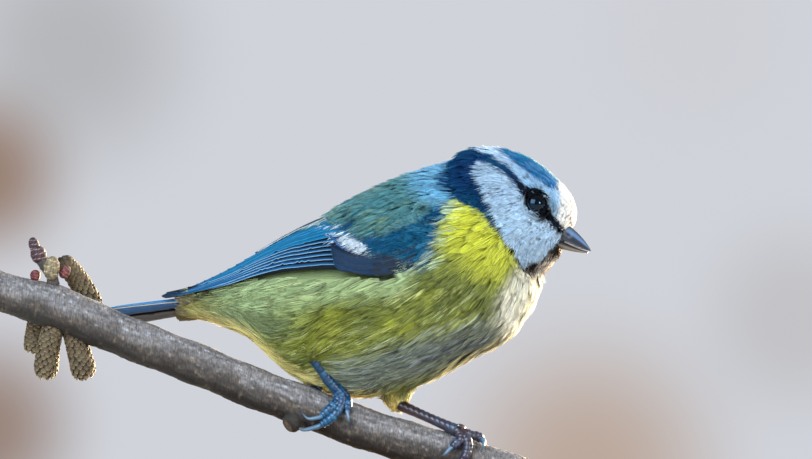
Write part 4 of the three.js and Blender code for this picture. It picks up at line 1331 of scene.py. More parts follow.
@dataclass
class Tufts:
    """Grows tufts of fine tapered barbs that follow a surface along the feathers' lie."""

    style: TuftStyle
    guide: Surface
    plumage: Plumage
    strands: Strands
    rng: np.random.Generator

    def grow(self, meshes: Meshes, roots: np.ndarray, normals: np.ndarray, length: np.ndarray,
             uv: np.ndarray) -> None:
        """Adds one tuft for each root.

        Args:
            meshes: Where the tufts go.
            roots: Their places on the guide surface.
            normals: The surface's normals there.
            length: Their lengths.
            uv: Their places on the skin's unwrap.
        """
        style, rng = self.style, self.rng
        count = len(roots)
        lift = rng.normal(0.0, style.lift, count) * np.minimum(length / 3, 1)
        sway = rng.normal(0, 0.08, count)
        place, normal = roots, normals
        centres, sides, ups = [], [], []
        for i, t in enumerate(style.stations):
            if i:
                step = (t - style.stations[i - 1]) * length
                onward = place + ahead * step[:, None]
                found, normal, _ = self.guide.nearest(onward)
                pull = found - onward
                room = 0.22 * step / np.maximum(np.linalg.norm(pull, axis=1), 1e-6)
                place = onward + pull * np.minimum(room, 1)[:, None]
            ahead = self.plumage.lie(place, normal)
            ahead = unit(ahead + np.cross(normal, ahead) * sway[:, None])
            depth = -COAT_DEPTH * (1 - t) ** 1.5 + lift * t + 0.05
            centres.append(place + normal * depth[:, None])
            sides.append(np.cross(normal, ahead))
            ups.append(normal)
        centres, sides, ups = (np.stack(rows, 1) for rows in (centres, sides, ups))
        barbs = style.barbs
        spot = np.linspace(-1, 1, barbs)[None] + rng.normal(0, 0.12, (count, barbs))
        reach = 1 - 0.22 * spot**2 + rng.normal(0, 0.07, (count, barbs))
        rise = rng.normal(0, 0.05, (count, barbs)) * np.minimum(length, 3)[:, None] / 3
        t = np.array(style.stations)
        fan = np.interp(t, [0, 0.4, 0.8, 1], style.fan)
        half = style.spread * length
        way = centres - centres[:, :1]
        middle = centres[:, None, :1] + way[:, None] * reach[..., None, None]
        middle = middle + sides[:, None] * (spot[..., None] * half[:, None, None] * fan)[..., None]
        middle = middle + ups[:, None] * (rise[..., None] * t)[..., None]
        width = style.barb_width * np.interp(t, [0, 0.45, 0.8, 1], [0.8, 1.0, 0.7, 0])
        across = sides[:, None] * (width / 2)[:, None]
        over = ups[:, None] * (width * 0.35)[:, None]
        rings = np.stack([middle - across, middle + over, middle + across], 3)[:, :, :-1]
        tips = middle[:, :, -1:]
        ring_count = len(t) - 1
        flat = rings.reshape(count, barbs, ring_count * 3, 3)
        points = np.concatenate([flat, tips], 2)
        per = ring_count * 3 + 1
        faces = []
        for r in range(ring_count - 1):
            for j in range(3):
                a, b = r * 3 + j, r * 3 + (j + 1) % 3
                faces += [[a, a + 3, b], [b, a + 3, b + 3]]
        last = (ring_count - 1) * 3
        faces += [[last + j, per - 1, last + (j + 1) % 3] for j in range(3)]
        faces += [[0, 1, 2]]
        base = np.arange(count * barbs)[:, None, None] * per
        every = (np.array(faces)[None] + base).reshape(-1, 3)
        forth = rng.uniform(0.3, 0.75, (count, barbs))[..., None]
        seen = (middle[:, :, -1] * forth + middle[:, :, 0] * (1 - forth)).reshape(-1, 3)
        tone, chance = self.strands.at(middle[:, :, -2].reshape(-1, 3))
        tint = self.plumage.streaked(self.plumage.colours(seen, chance, rng), seen, chance)
        tint, tone = tint.reshape(count, barbs, 3), tone.reshape(count, barbs)
        bright = tone * rng.normal(1, 0.04, (count, 1))
        bright = bright * np.clip(rng.normal(1, style.contrast, (count, barbs)), 0.5, 1.5)
        along = np.interp(t, [0, 0.5, 1], [0.55, 0.95, 1.12])
        shadow = np.concatenate([np.repeat(along[:-1], 3), along[-1:]])
        colour = tint[:, :, None] * (bright[..., None] * shadow)[..., None]
        patch = np.stack(np.broadcast_arrays(
            np.linspace(-0.5, 0.5, barbs)[None, :, None],
            (np.concatenate([np.repeat(t[:-1], 3), t[-1:]]) - 0.5)[None, None],
        ), -1) * BAKE_PATCH
        where = uv[:, None, None] + patch
        meshes.add(points.reshape(-1, 3), every, np.clip(colour, 0, 1).reshape(-1, 3), where.reshape(-1, 2))


@dataclass(frozen=True)
class VaneStyle:
    """A feather's colours: stops by the millimetres in from its outer edge, and its tip's."""

    web: tuple
    tip: tuple | None = None
    tip_length: float = 1.5

    def colour(self, inward: np.ndarray, from_tip: np.ndarray) -> np.ndarray:
        """The feather's colours.

        Args:
            inward: Millimetres in from the outer edge.
            from_tip: Millimetres from the tip.

        Returns:
            Linear colours.
        """
        c = stops(inward, [(place, shade(*rgb)) for place, rgb in self.web])
        if self.tip:
            c = mix(c, shade(*self.tip), smooth(self.tip_length, self.tip_length * 0.55, from_tip))
        return c


def ragged(t: np.ndarray, length: float, rng: np.random.Generator) -> np.ndarray:
    """How wide a vane's edge is along it, with fine unevenness and a few splits between barbs.

    Args:
        t: Places along the feather.
        length: Its length.
        rng: Source of chance.

    Returns:
        A share of the full width for each place.
    """
    share = 1 + rng.normal(0, 0.012, len(t))
    for _ in range(rng.poisson(length / 24)):
        at, depth = rng.uniform(0.2, 0.97), rng.uniform(0.12, 0.4)
        behind = (t - at) * length
        share -= depth * ((behind > 0) & (behind < 0.9)) * (1 - behind / 0.9)
    return share


@dataclass
class Wing:
    """A folded wing: rows of vanes lying on its bed, each lower one under the next."""

    finishes: Finishes
    side: Side
    rng: np.random.Generator

    BED = Curve([[-54, -2.8, 3.0, 1.5, 0.5], [-45, -2.3, 5.3, 2.9, 0.6], [-35, -1.6, 8.8, 6.4, 0.8],
                 [-25, -0.8, 12.4, 10.8, 1.1], [-15, 0.5, 15.4, 14.0, 1.5], [-5, 2.0, 16.9, 16.3, 1.9],
                 [5, 3.5, 16.8, 16.3, 2.1], [19, 6.2, 13.4, 15.0, 2.0]])
    OUTLINE = Curve([[-54, 6, 40], [-50, 3, 50], [-43, 8, 52], [-36, 9, 56], [-29, 10, 64], [-22, 8, 68],
                     [-17.6, 5, 67], [-14, 3, 55], [-10.2, 1, 40], [-4.5, -3, 23], [0, -7, 25],
                     [5.6, -9, 29], [9.7, -8, 33], [13.0, -3, 35], [15.0, 8, 26]])
    SHAPE = Curve([[0, 0.6], [0.4, 1.0], [0.7, 0.95], [0.9, 0.72], [1.0, 0.42]])
    # How far a vane lies over its bed from its lower edge to its upper one
    PROFILE = ((-1, 0.36), (-0.8, 0.44), (-0.3, 0.3), (0.3, 0.14), (1, 0.02))
    PRIMARY = VaneStyle(
        web=((0, (170, 198, 216)), (0.1, (52, 120, 166)), (0.24, (8, 76, 122)), (0.45, (6, 62, 104)),
             (0.6, (2, 6, 13)), (2, (6, 10, 17))),
        tip=(22, 44, 66), tip_length=4.0)
    SECONDARY = VaneStyle(
        web=((0, (64, 142, 184)), (0.16, (6, 104, 146)), (1.5, (4, 88, 130)), (1.75, (3, 14, 28)), (3, (8, 14, 22))),
        tip=(40, 110, 160), tip_length=1.2)
    TERTIAL = VaneStyle(
        web=((0, (206, 216, 220)), (0.2, (140, 164, 178)), (0.34, (4, 12, 22)), (1.0, (6, 40, 70)),
             (1.6, (12, 76, 120)), (3, (6, 10, 18))),
        tip=(150, 170, 180), tip_length=1.0)
    PRIMARY_COVERT = VaneStyle(
        web=((0, (30, 74, 108)), (0.12, (10, 40, 68)), (0.9, (8, 30, 54)), (2, (5, 16, 30))),
        tip=(40, 74, 102), tip_length=0.3)
    ALULA = VaneStyle(web=((0, (60, 92, 116)), (0.12, (14, 40, 66)), (0.4, (6, 22, 42)), (2, (5, 12, 24))))
    GREATER = VaneStyle(
        web=((0, (30, 100, 150)), (0.2, (8, 68, 116)), (1.3, (6, 56, 100)), (2.5, (6, 22, 42))),
        tip=(150, 184, 214), tip_length=0.5)
    MEDIAN = VaneStyle(web=((0, (30, 88, 134)), (0.4, (14, 66, 108)), (2.5, (8, 40, 70))))
    # Each row: how many vanes, x and share up the wing of the first one's root and tip and the last
    # one's, half their width, the row's own height, and their style
    ROWS = (
        (6, (-4, 0.08), (-52.2, 0.22), (-6, 0.34), (-46, 0.62), 1.05, 0.0, PRIMARY),
        (7, (-6, 0.42), (-44, 0.72), (-10, 0.8), (-33, 0.95), 1.7, 0.03, SECONDARY),
        (3, (-9, 0.86), (-30.5, 0.93), (-13, 0.94), (-22.5, 0.93), 2.1, 0.32, TERTIAL),
        (7, (5, 0.07), (-8, 0.12), (3, 0.45), (-9.5, 0.5), 1.45, 0.32, PRIMARY_COVERT),
        (3, (10, 0.1), (0.5, 0.1), (10.5, 0.42), (1.5, 0.32), 1.4, 0.42, ALULA),
        (8, (5, 0.54), (-4, 0.54), (-5, 0.88), (-15.5, 0.88), 1.7, 0.03, GREATER),
        (6, (10, 0.3), (0.5, 0.34), (1, 0.82), (-7, 0.82), 1.8, 0.0, MEDIAN),
    )
    THICKNESS = 0.16
    # How far from its tip, in millimetres, a vane begins to round off
    TIP_ROUND = 1.8
    ACROSS = np.array((-1, -0.9, -0.76, -0.52, -0.2, 0.15, 0.5, 0.8, 1))

    def build(self) -> None:
        """Makes the wing as one piece of many vanes on a thin body."""
        meshes = Meshes()
        self.core(meshes)
        for count, first_root, first_tip, last_root, last_tip, half, height, style in self.ROWS:
            for share in np.linspace(0, 1, count):
                root = np.array(first_root) * (1 - share) + np.array(last_root) * share
                tip = np.array(first_tip) * (1 - share) + np.array(last_tip) * share
                self.vane(meshes, root, tip, half, height, style)
        name = self.side.label
        piece = meshes.piece(f"wing_{name}_vanes", "wing_feathers", self.finishes[Look.VANE])
        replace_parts(piece, f"wing_{name}")
        LOG.info("%s: %d points", piece.name, meshes.count)

    def point(self, x: np.ndarray, angle: np.ndarray, lift: np.ndarray) -> np.ndarray:
        """Points over the wing's bed.

        Args:
            x: Places along the bird.
            angle: Degrees above the bed's widest line.
            lift: Heights over the bed.

        Returns:
            Points in the model's frame.
        """
        middle, width, height, _ = np.moveaxis(self.BED(x), -1, 0)
        c, s = np.cos(np.radians(angle)), np.sin(np.radians(angle))
        out = unit(np.stack([0 * c, c / width, s / height], -1))
        y = self.side.value * (width * c + out[..., 1] * lift)
        return BIRD.out(np.stack([x + 0 * y, y, middle + height * s + out[..., 2] * lift], -1))

    def core(self, meshes: Meshes) -> None:
        """The wing's thin body under its vanes.

        Args:
            meshes: Where it goes.
        """
        x = np.linspace(14.4, -51.5, 60)
        lower, upper = np.moveaxis(self.OUTLINE(x), -1, 0)
        across = np.linspace(0.04, 0.96, 9)
        angle = lower[:, None] + (upper - lower)[:, None] * np.concatenate([across, across[::-1]])
        depth = np.concatenate([np.full(9, 0.75), np.zeros(9)])
        lift = self.BED(x)[:, 3:] * depth
        meshes.ringed(self.point(x[:, None] + 0 * angle, angle, lift), shade(16, 30, 46))

    def vane(self, meshes: Meshes, root: np.ndarray, tip: np.ndarray, half: float, height: float,
             style: VaneStyle) -> None:
        """One feather of the wing.

        Args:
            meshes: Where it goes.
            root: Its root, as x and share of the way up the wing.
            tip: Its tip.
            half: Half its width.
            height: How far it lies over the bed's body.
            style: Its colours.
        """
        rng = self.rng
        length = root[0] - tip[0]
        t = np.linspace(0, 1, max(12, int(length / 0.55)))
        t = np.concatenate([t[:-1], 1 - np.array([0.6, 0.35, 0.15, 0.03]) * (t[1] - t[0])])
        x = root[0] + (tip[0] - root[0]) * t
        lower, upper = np.moveaxis(self.OUTLINE(x), -1, 0)
        bed = self.BED(x)
        # The long vanes run straight on under the coverts, where the outline comes down
        top = np.where((x > -17.6) & (half < 2.2) & (root[0] < -3), 67.0, upper)
        centre = lower + (top - lower) * (root[1] + (tip[1] - root[1]) * t)
        radius = np.hypot(bed[:, 1] * np.sin(np.radians(centre)), bed[:, 2] * np.cos(np.radians(centre)))
        end = self.TIP_ROUND / length
        wide = half * self.SHAPE(t) * rounded(t, 1 - end, end, 0.004)
        across = self.ACROSS
        reach = np.where(across < 0, ragged(t, length, rng)[:, None], 1.0) * across
        angle = centre[:, None] + np.degrees(wide / radius)[:, None] * reach
        angle = np.clip(angle, lower[:, None] - 0.6, upper[:, None] + 0.6)
        profile = np.interp(across, *zip(*self.PROFILE))
        jitter = rng.normal(0, 0.02)
        lift = bed[:, 3:] + height + profile + jitter + 0.05 * np.sin(t * 7 + rng.uniform(0, 6))[:, None]
        thick = self.THICKNESS * np.array([0.3, 0.8, 1, 1, 1, 1, 1, 0.8, 0.3])
        angles, lifts = two_faced(angle), two_faced(lift, lift - thick)
        inward = (two_faced(across) + 1) * half
        streak = np.clip(1 + rng.normal(0, 0.05, (len(t), 1)) + rng.normal(0, 0.06, (1, 18)), 0.7, 1.3)
        colour = style.colour(np.broadcast_to(inward, angles.shape), ((1 - t) * length)[:, None] + 0 * angles)
        colour = colour * (streak * rng.normal(1, 0.05))[..., None]
        uvs = np.stack(np.broadcast_arrays(inward - half * 0.7, (t * length)[:, None]), -1)
        meshes.ringed(self.point(x[:, None] + 0 * angles, angles, lifts), np.clip(colour, 0, 1), uvs)


@dataclass
class Tail:
    """The closed tail of twelve vanes, the middle pair on top."""

    finishes: Finishes
    rng: np.random.Generator

    ROOT = np.array((-35.5, 0.0, -1.6))
    TIP = np.array((-69.4, 0.0, -6.0))
    TWIST = 13.0
    PAIRS = 6
    HALF = Curve([[0, 0.8], [0.35, 1.5], [0.75, 2.1], [0.94, 1.75], [1.0, 1.4]])
    TOP = VaneStyle(
        web=((0, (104, 170, 220)), (0.3, (40, 128, 196)), (1.5, (20, 104, 172)), (1.9, (4, 20, 40)),
             (2.2, (24, 96, 160)), (4, (24, 90, 150))))
    OUTER = VaneStyle(
        web=((0, (226, 220, 200)), (0.3, (80, 150, 200)), (0.6, (12, 96, 166)),
             (3.4, (10, 88, 156)), (4, (4, 14, 28))))
    UNDER = shade(74, 66, 56)
    THICKNESS = 0.17
    WEB = 2.1

    def build(self) -> None:
        """Makes the tail as one piece."""
        meshes = Meshes()
        for pair in range(self.PAIRS):
            for side in (1, -1):
                self.vane(meshes, pair, side)
        piece = meshes.piece("tail_vanes", "tail_feathers", self.finishes[Look.TAIL_VANE])
        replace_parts(piece, "tail")
        LOG.info("tail: %d points", meshes.count)

    def point(self, along: np.ndarray, across: np.ndarray, above: np.ndarray) -> np.ndarray:
        """Points along the tail's middle line, across it, and above its plane.

        Args:
            along: Millimetres from the tail's root.
            across: Millimetres to the left.
            above: Millimetres up.

        Returns:
            Points in the model's frame.
        """
        axis = unit(self.TIP - self.ROOT)
        wide = np.array((0.0, 1.0, 0.0))
        c, s = math.cos(math.radians(self.TWIST)), math.sin(math.radians(self.TWIST))
        wide = wide * c + np.cross(axis, wide) * s
        up = np.cross(wide, axis)
        made = self.ROOT + axis * along[..., None] + wide * across[..., None] + up * above[..., None]
        return BIRD.out(made)

    def vane(self, meshes: Meshes, pair: int, side: int) -> None:
        """One tail feather.

        Args:
            meshes: Where it goes.
            pair: Its pair, 0 on top.
            side: 1 for the left one.
        """
        rng = self.rng
        reach = np.linalg.norm(self.TIP - self.ROOT) - 0.35 * abs(pair - 3) ** 1.3
        t = np.concatenate([np.linspace(0, 0.985, 62), [0.992, 0.997, 0.9995]])
        above = 0.95 - 0.34 * (pair + (0 if side > 0 else 0.5))
        offset = side * (0.35 + pair * (0.3 + 0.26 * t))
        wide = self.HALF(t) * rounded(t, 0.955, 0.045, 0.003)
        across = np.linspace(-1, 1, 9)
        edge = np.where(across * side > 0, ragged(t, reach, rng)[:, None], ragged(t, reach, rng)[:, None])
        spot = offset[:, None] + wide[:, None] * edge * across
        camber = 0.24 * (1 - across**2) - 0.06
        shaft = 0.09 * np.exp(-((across / 0.1) ** 2))
        lift = above + camber + shaft + 0.04 * np.sin(t * 6 + pair)[:, None]
        thick = self.THICKNESS * np.array([0.3, 0.8, 1, 1, 1.4, 1, 1, 0.8, 0.3])
        spots, lifts = two_faced(spot), two_faced(lift, lift - thick)
        # The outer web is the one away from the tail's middle, which the feather above leaves in sight
        inward = two_faced((1 - across * side) * self.WEB)
        style = self.OUTER if pair == self.PAIRS - 1 else self.TOP
        colour = style.colour(np.broadcast_to(inward, spots.shape), ((1 - t) * reach)[:, None] + 0 * spots)
        under = np.concatenate([np.zeros(9), np.ones(9)])
        grey = 0.9 if pair == self.PAIRS - 1 and side > 0 else 0.1
        colour = mix(colour, self.UNDER, np.broadcast_to(under, spots.shape) * grey)
        # The fifth pair from the top is darkened to a dark line between the blue above and the grey below: painted
        # shade between the stacked feathers
        colour = colour * (0.3 if pair == 4 else 1)
        streak = 1 + rng.normal(0, 0.04, (len(t), 1)) + rng.normal(0, 0.05, (1, 18))
        uvs = np.stack(np.broadcast_arrays(two_faced(across) * self.WEB, (t * reach)[:, None]), -1)
        colour = np.clip(colour * streak[..., None], 0, 1)
        meshes.ringed(self.point(reach * t[:, None] + 0 * spots, spots, lifts), colour, uvs)


@dataclass
class Face:
    """Bill, eyes and lids, in the head's own frame."""

    finishes: Finishes

    # x, upper line, mouth line, lower line, half width
    BILL = Curve([[9.0, 3.5, -0.45, -3.1, 2.95], [9.5, 3.4, -0.5, -3.0, 2.9], [13.2, 2.85, -0.85, -2.6, 2.35],
                  [15.6, 2.05, -0.95, -2.2, 1.75], [17.6, 1.15, -0.9, -1.75, 1.05], [19.1, 0.25, -0.75, -1.3, 0.45],
                  [19.9, -0.35, -0.62, -1.0, 0.08]])
    # Each half's colours from its cutting edge to its ridge; the light blue band on the upper half's flank is a
    # painted highlight, and the pale band low on the lower half a painted reflection
    UPPER = ((0, shade(80, 84, 92)), (0.1, shade(26, 32, 44)), (0.5, shade(24, 32, 48)),
             (0.68, shade(92, 124, 166)), (0.84, shade(70, 98, 138)), (0.95, shade(18, 22, 30)))
    LOWER = ((0, shade(12, 14, 20)), (0.4, shade(20, 22, 28)), (0.62, shade(132, 124, 114)),
             (0.84, shade(112, 100, 90)), (1, shade(34, 30, 28)))
    NOSTRIL = np.array((13.9, 1.6, 0.75))
    EYE = np.array((6.8, 3.9))
    BALL = 2.5
    SIGHT = 2.0
    BULGE = 1.75
    OUTLINE = Curve([[30 * (i - 1), r] for i, r in enumerate(
        (15.0, 14.6, 14.9, 13.2, 13.3, 14.9, 17.6, 18.1, 16.5, 15.6, 16.4, 17.2, 15.0, 14.6, 14.9))])

    def build(self) -> None:
        """Makes the bill's two halves, the eyes and their lids."""
        self.bill("bill_upper", True)
        self.bill("bill_lower", False)
        for side in Side:
            self.eye(side)

    def bill(self, node: str, upper: bool) -> None:
        """One half of the bill.

        Args:
            node: The node that it replaces.
            upper: Whether it is the upper one.
        """
        x = np.linspace(9.0, 19.85 if upper else 19.35, 44)
        top, mouth, bottom, half = np.moveaxis(self.BILL(x), -1, 0)
        angle = ring_angles(40)
        far = top if upper else bottom
        edge = mouth + (0.15 if upper else -0.15)
        rise = np.clip(np.sin(angle), 0, 1)
        # The ridge is a little sharper than a circle, and the cutting edge turns in
        ridge = rise ** 0.92
        wide = half[:, None] * np.cos(angle) * (1 if upper else 0.86)
        flank = 1 - 0.1 * np.exp(-(((ridge - 0.12) / 0.12) ** 2))
        sag = np.clip(-np.sin(angle), 0, 1)
        z = edge[:, None] + (far - edge)[:, None] * ridge
        z = z + (0.12 if upper else -0.12) * sag[None] * np.minimum(half, 1)[:, None]
        rings = np.stack([x[:, None] + 0 * wide, wide * flank, z], -1)
        pale, dark = shade(150, 160, 172), shade(44, 46, 54)
        if upper:
            c = stops(ridge, self.UPPER)
            c = mix(c, dark, 0.4 * smooth(17.5, 19.8, x)[:, None] + 0 * z)
            for side in (1, -1):
                pit = self.NOSTRIL * (1, side, 1)
                away = np.linalg.norm((rings - pit) / (1.5, 1.0, 1.0), axis=-1)
                rings[..., 1] -= side * 0.4 * np.exp(-((away / 0.42) ** 2))
                # Each nostril's dent is painted near black as painted shade, with a faint pale ring on its rim as a
                # painted highlight
                c = mix(c, shade(10, 10, 12), smooth(0.55, 0.3, away))
                c = mix(c, pale, 0.25 * np.exp(-(((away - 0.7) / 0.15) ** 2)))
        else:
            c = stops(ridge, self.LOWER)
        growth = 1 - 0.05 * np.sin(x * 5.5)[:, None] ** 8
        meshes = Meshes()
        meshes.ringed(from_head(rings), c * growth[..., None])
        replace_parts(meshes.piece(node + "_horn", "bill", self.finishes[Look.BILL]), node)

    def seat(self, side: Side) -> tuple[np.ndarray, np.ndarray]:
        """Where an eye sits on the head, and the way it looks.

        Args:
            side: Which eye.

        Returns:
            The place and the direction, in the head's frame.
        """
        reach = np.hypot(*self.EYE)
        rim = float(self.OUTLINE(np.array(math.degrees(math.atan2(self.EYE[1], self.EYE[0])))))
        out = math.acos(reach / rim) * side.value
        taper = 1 - 0.24 * float(smooth(5, 15, self.EYE[0]))
        seat = np.array((self.EYE[0], 11.8 * math.sin(out) * taper, self.EYE[1]))
        return seat, unit(seat / np.array((14.7, 11.8, 14.7)) ** 2)

    def eye(self, side: Side) -> None:
        """An eyeball with a clear bulge over a dark pupil and iris, and its lids.

        Args:
            side: Which eye.
        """
        name = side.label
        seat, gaze = self.seat(side)
        centre = seat - gaze * math.sqrt(self.BALL**2 - self.SIGHT**2)
        place = from_head(centre[None])[0]
        way = gaze @ HEAD.matrix.T @ BIRD.matrix.T
        bpy.ops.object.select_all(action="DESELECT")
        bpy.ops.mesh.primitive_uv_sphere_add(segments=48, ring_count=32, radius=self.BALL * MM)
        ball = bpy.context.object
        ball.name = f"eyeball_{name}"
        low = (self.BALL**2 - self.BULGE**2) ** 0.5 * MM
        mode("EDIT")
        bpy.ops.mesh.select_all(action="DESELECT")
        mode("OBJECT")
        for vertex in ball.data.vertices:
            vertex.select = vertex.co.z > low
        mode("EDIT")
        bpy.ops.transform.resize(value=(1, 1, 1.06), center_override=(0, 0, low), use_proportional_edit=True,
                                 proportional_size=0.4 * MM, proportional_edit_falloff="SMOOTH")
        mode("OBJECT")
        bpy.ops.object.shade_smooth()
        co = read(ball.data.vertices, "co", 3).astype(float) / MM
        off = np.degrees(np.arctan2(np.hypot(co[:, 0], co[:, 1]), co[:, 2]))
        c = stops(off, [(0, shade(3, 3, 4)), (27, shade(4, 4, 5)), (30, shade(14, 9, 8)),
                        (44, shade(11, 8, 8)), (50, shade(5, 4, 5)), (80, shade(12, 10, 12))])
        paint(ball.data, c)
        ball.data.materials.append(self.finishes[Look.EYE])
        ball.rotation_euler = Vector(way).to_track_quat("Z", "Y").to_euler()
        ball.location = place * MM
        bpy.ops.object.transform_apply()
        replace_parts(settle(ball), f"eye_{name}")
        self.lids(side, seat, gaze)

    def lids(self, side: Side, seat: np.ndarray, gaze: np.ndarray) -> None:
        """The ring of bare lid round an eye, with a painted highlight along its lower edge.

        Args:
            side: Which eye.
            seat: The eye's place on the head.
            gaze: The way it looks.
        """
        name = side.label
        up = unit(np.array((0.0, 0, 1)) - gaze * gaze[2])
        fore = np.cross(up, gaze)
        count = 72
        angle = ring_angles(count)
        ring = up * np.cos(angle)[:, None] + fore * np.sin(angle)[:, None]
        # The opening is a little pointed in front and behind, and the upper lid sits lower
        opening = 1.98 - 0.12 * np.clip(np.cos(angle), 0, 1) ** 2
        opening = opening + 0.14 * np.abs(np.sin(angle)) ** 9
        beads = 0.02 * np.sin(angle * 22)
        section = ring_angles(10)
        fat = 0.13 + 0.03 * np.cos(angle) + beads
        out = opening[:, None] + 0.11 + fat[:, None] * np.cos(section)
        over = 0.12 + fat[:, None] * 0.9 * np.sin(section)
        points = seat + ring[:, None] * out[..., None] + gaze * over[..., None]
        faces = walls(count, 10) % (count * 10)
        flat = from_head(points.reshape(-1, 3))
        middle = from_head(seat + ring * (opening + 0.11)[:, None] + gaze * 0.12)
        first = flat[faces[:, 0]]
        outward = np.cross(flat[faces[:, 1]] - first, flat[faces[:, 2]] - first)
        if (outward * (first - middle[faces[:, 0] // 10])).sum() < 0:
            faces = faces[:, ::-1]
        # A pale blue line along the crest of the lower lid: a painted highlight
        lower = smooth(-0.25, -0.75, np.cos(angle))[:, None] * np.exp(-(((section - 1.6) / 0.8) ** 2))
        colour = mix(shade(4, 6, 10), shade(84, 116, 146), 0.35 * lower)
        meshes = Meshes()
        meshes.add(flat, faces, colour.reshape(-1, 3), np.zeros((len(flat), 2)))
        meshes.piece(f"eyelids_{name}", "head_feathers", self.finishes[Look.SKIN])


@dataclass
class Twig:
    """The middle line of the twig, and places round it."""

    LINE = Curve([[-76, 58.6, 4.3], [-63, 54.6, 4.5], [-52.2, 50.4, 4.55], [-43.5, 46.9, 4.5],
                  [-30.4, 41.8, 4.45], [-19.6, 37.3, 4.4], [-8.7, 33.3, 4.4], [2.2, 29.2, 4.5],
                  [10.9, 26.3, 4.5], [26.1, 21.9, 4.5], [41.5, 16.6, 4.4]])

    def up(self, x: np.ndarray) -> np.ndarray:
        """The way over the twig's top at x."""
        rise = (self.LINE(x + 1)[..., 0] - self.LINE(x - 1)[..., 0]) / 2
        slope = np.arctan(rise)
        return np.stack([-np.sin(slope), 0 * slope, np.cos(slope)], -1)

    def point(self, x: np.ndarray, degrees: np.ndarray, out: np.ndarray) -> np.ndarray:
        """Points round the twig.

        Args:
            x: Places along it.
            degrees: The turn from its top towards -Y.
            out: The way out from its middle line.

        Returns:
            Points in the model's frame.
        """
        x = np.asarray(x, float)
        a = np.radians(degrees)
        middle = np.stack([x, 0 * x, self.LINE(x)[..., 0]], -1)
        across = np.stack([0 * x, 0 * x - 1, 0 * x], -1)
        out = np.asarray(out, float)
        return middle + self.up(x) * (out * np.cos(a))[..., None] + across * (out * np.sin(a))[..., None]

    def away(self, points: np.ndarray) -> np.ndarray:
        """The way from the twig's middle line to points."""
        middle = np.stack([points[:, 0], 0 * points[:, 0], self.LINE(points[:, 0])[:, 0]], 1)
        return unit(points - middle)


@dataclass(frozen=True)
class LegPlan:
    """One leg's places, as in the solids: points in the model's frame, toes and claws round the twig."""

    name: str
    heel: tuple
    ball: tuple
    toes: tuple
    claws: tuple
    warmth: float
    hidden: int


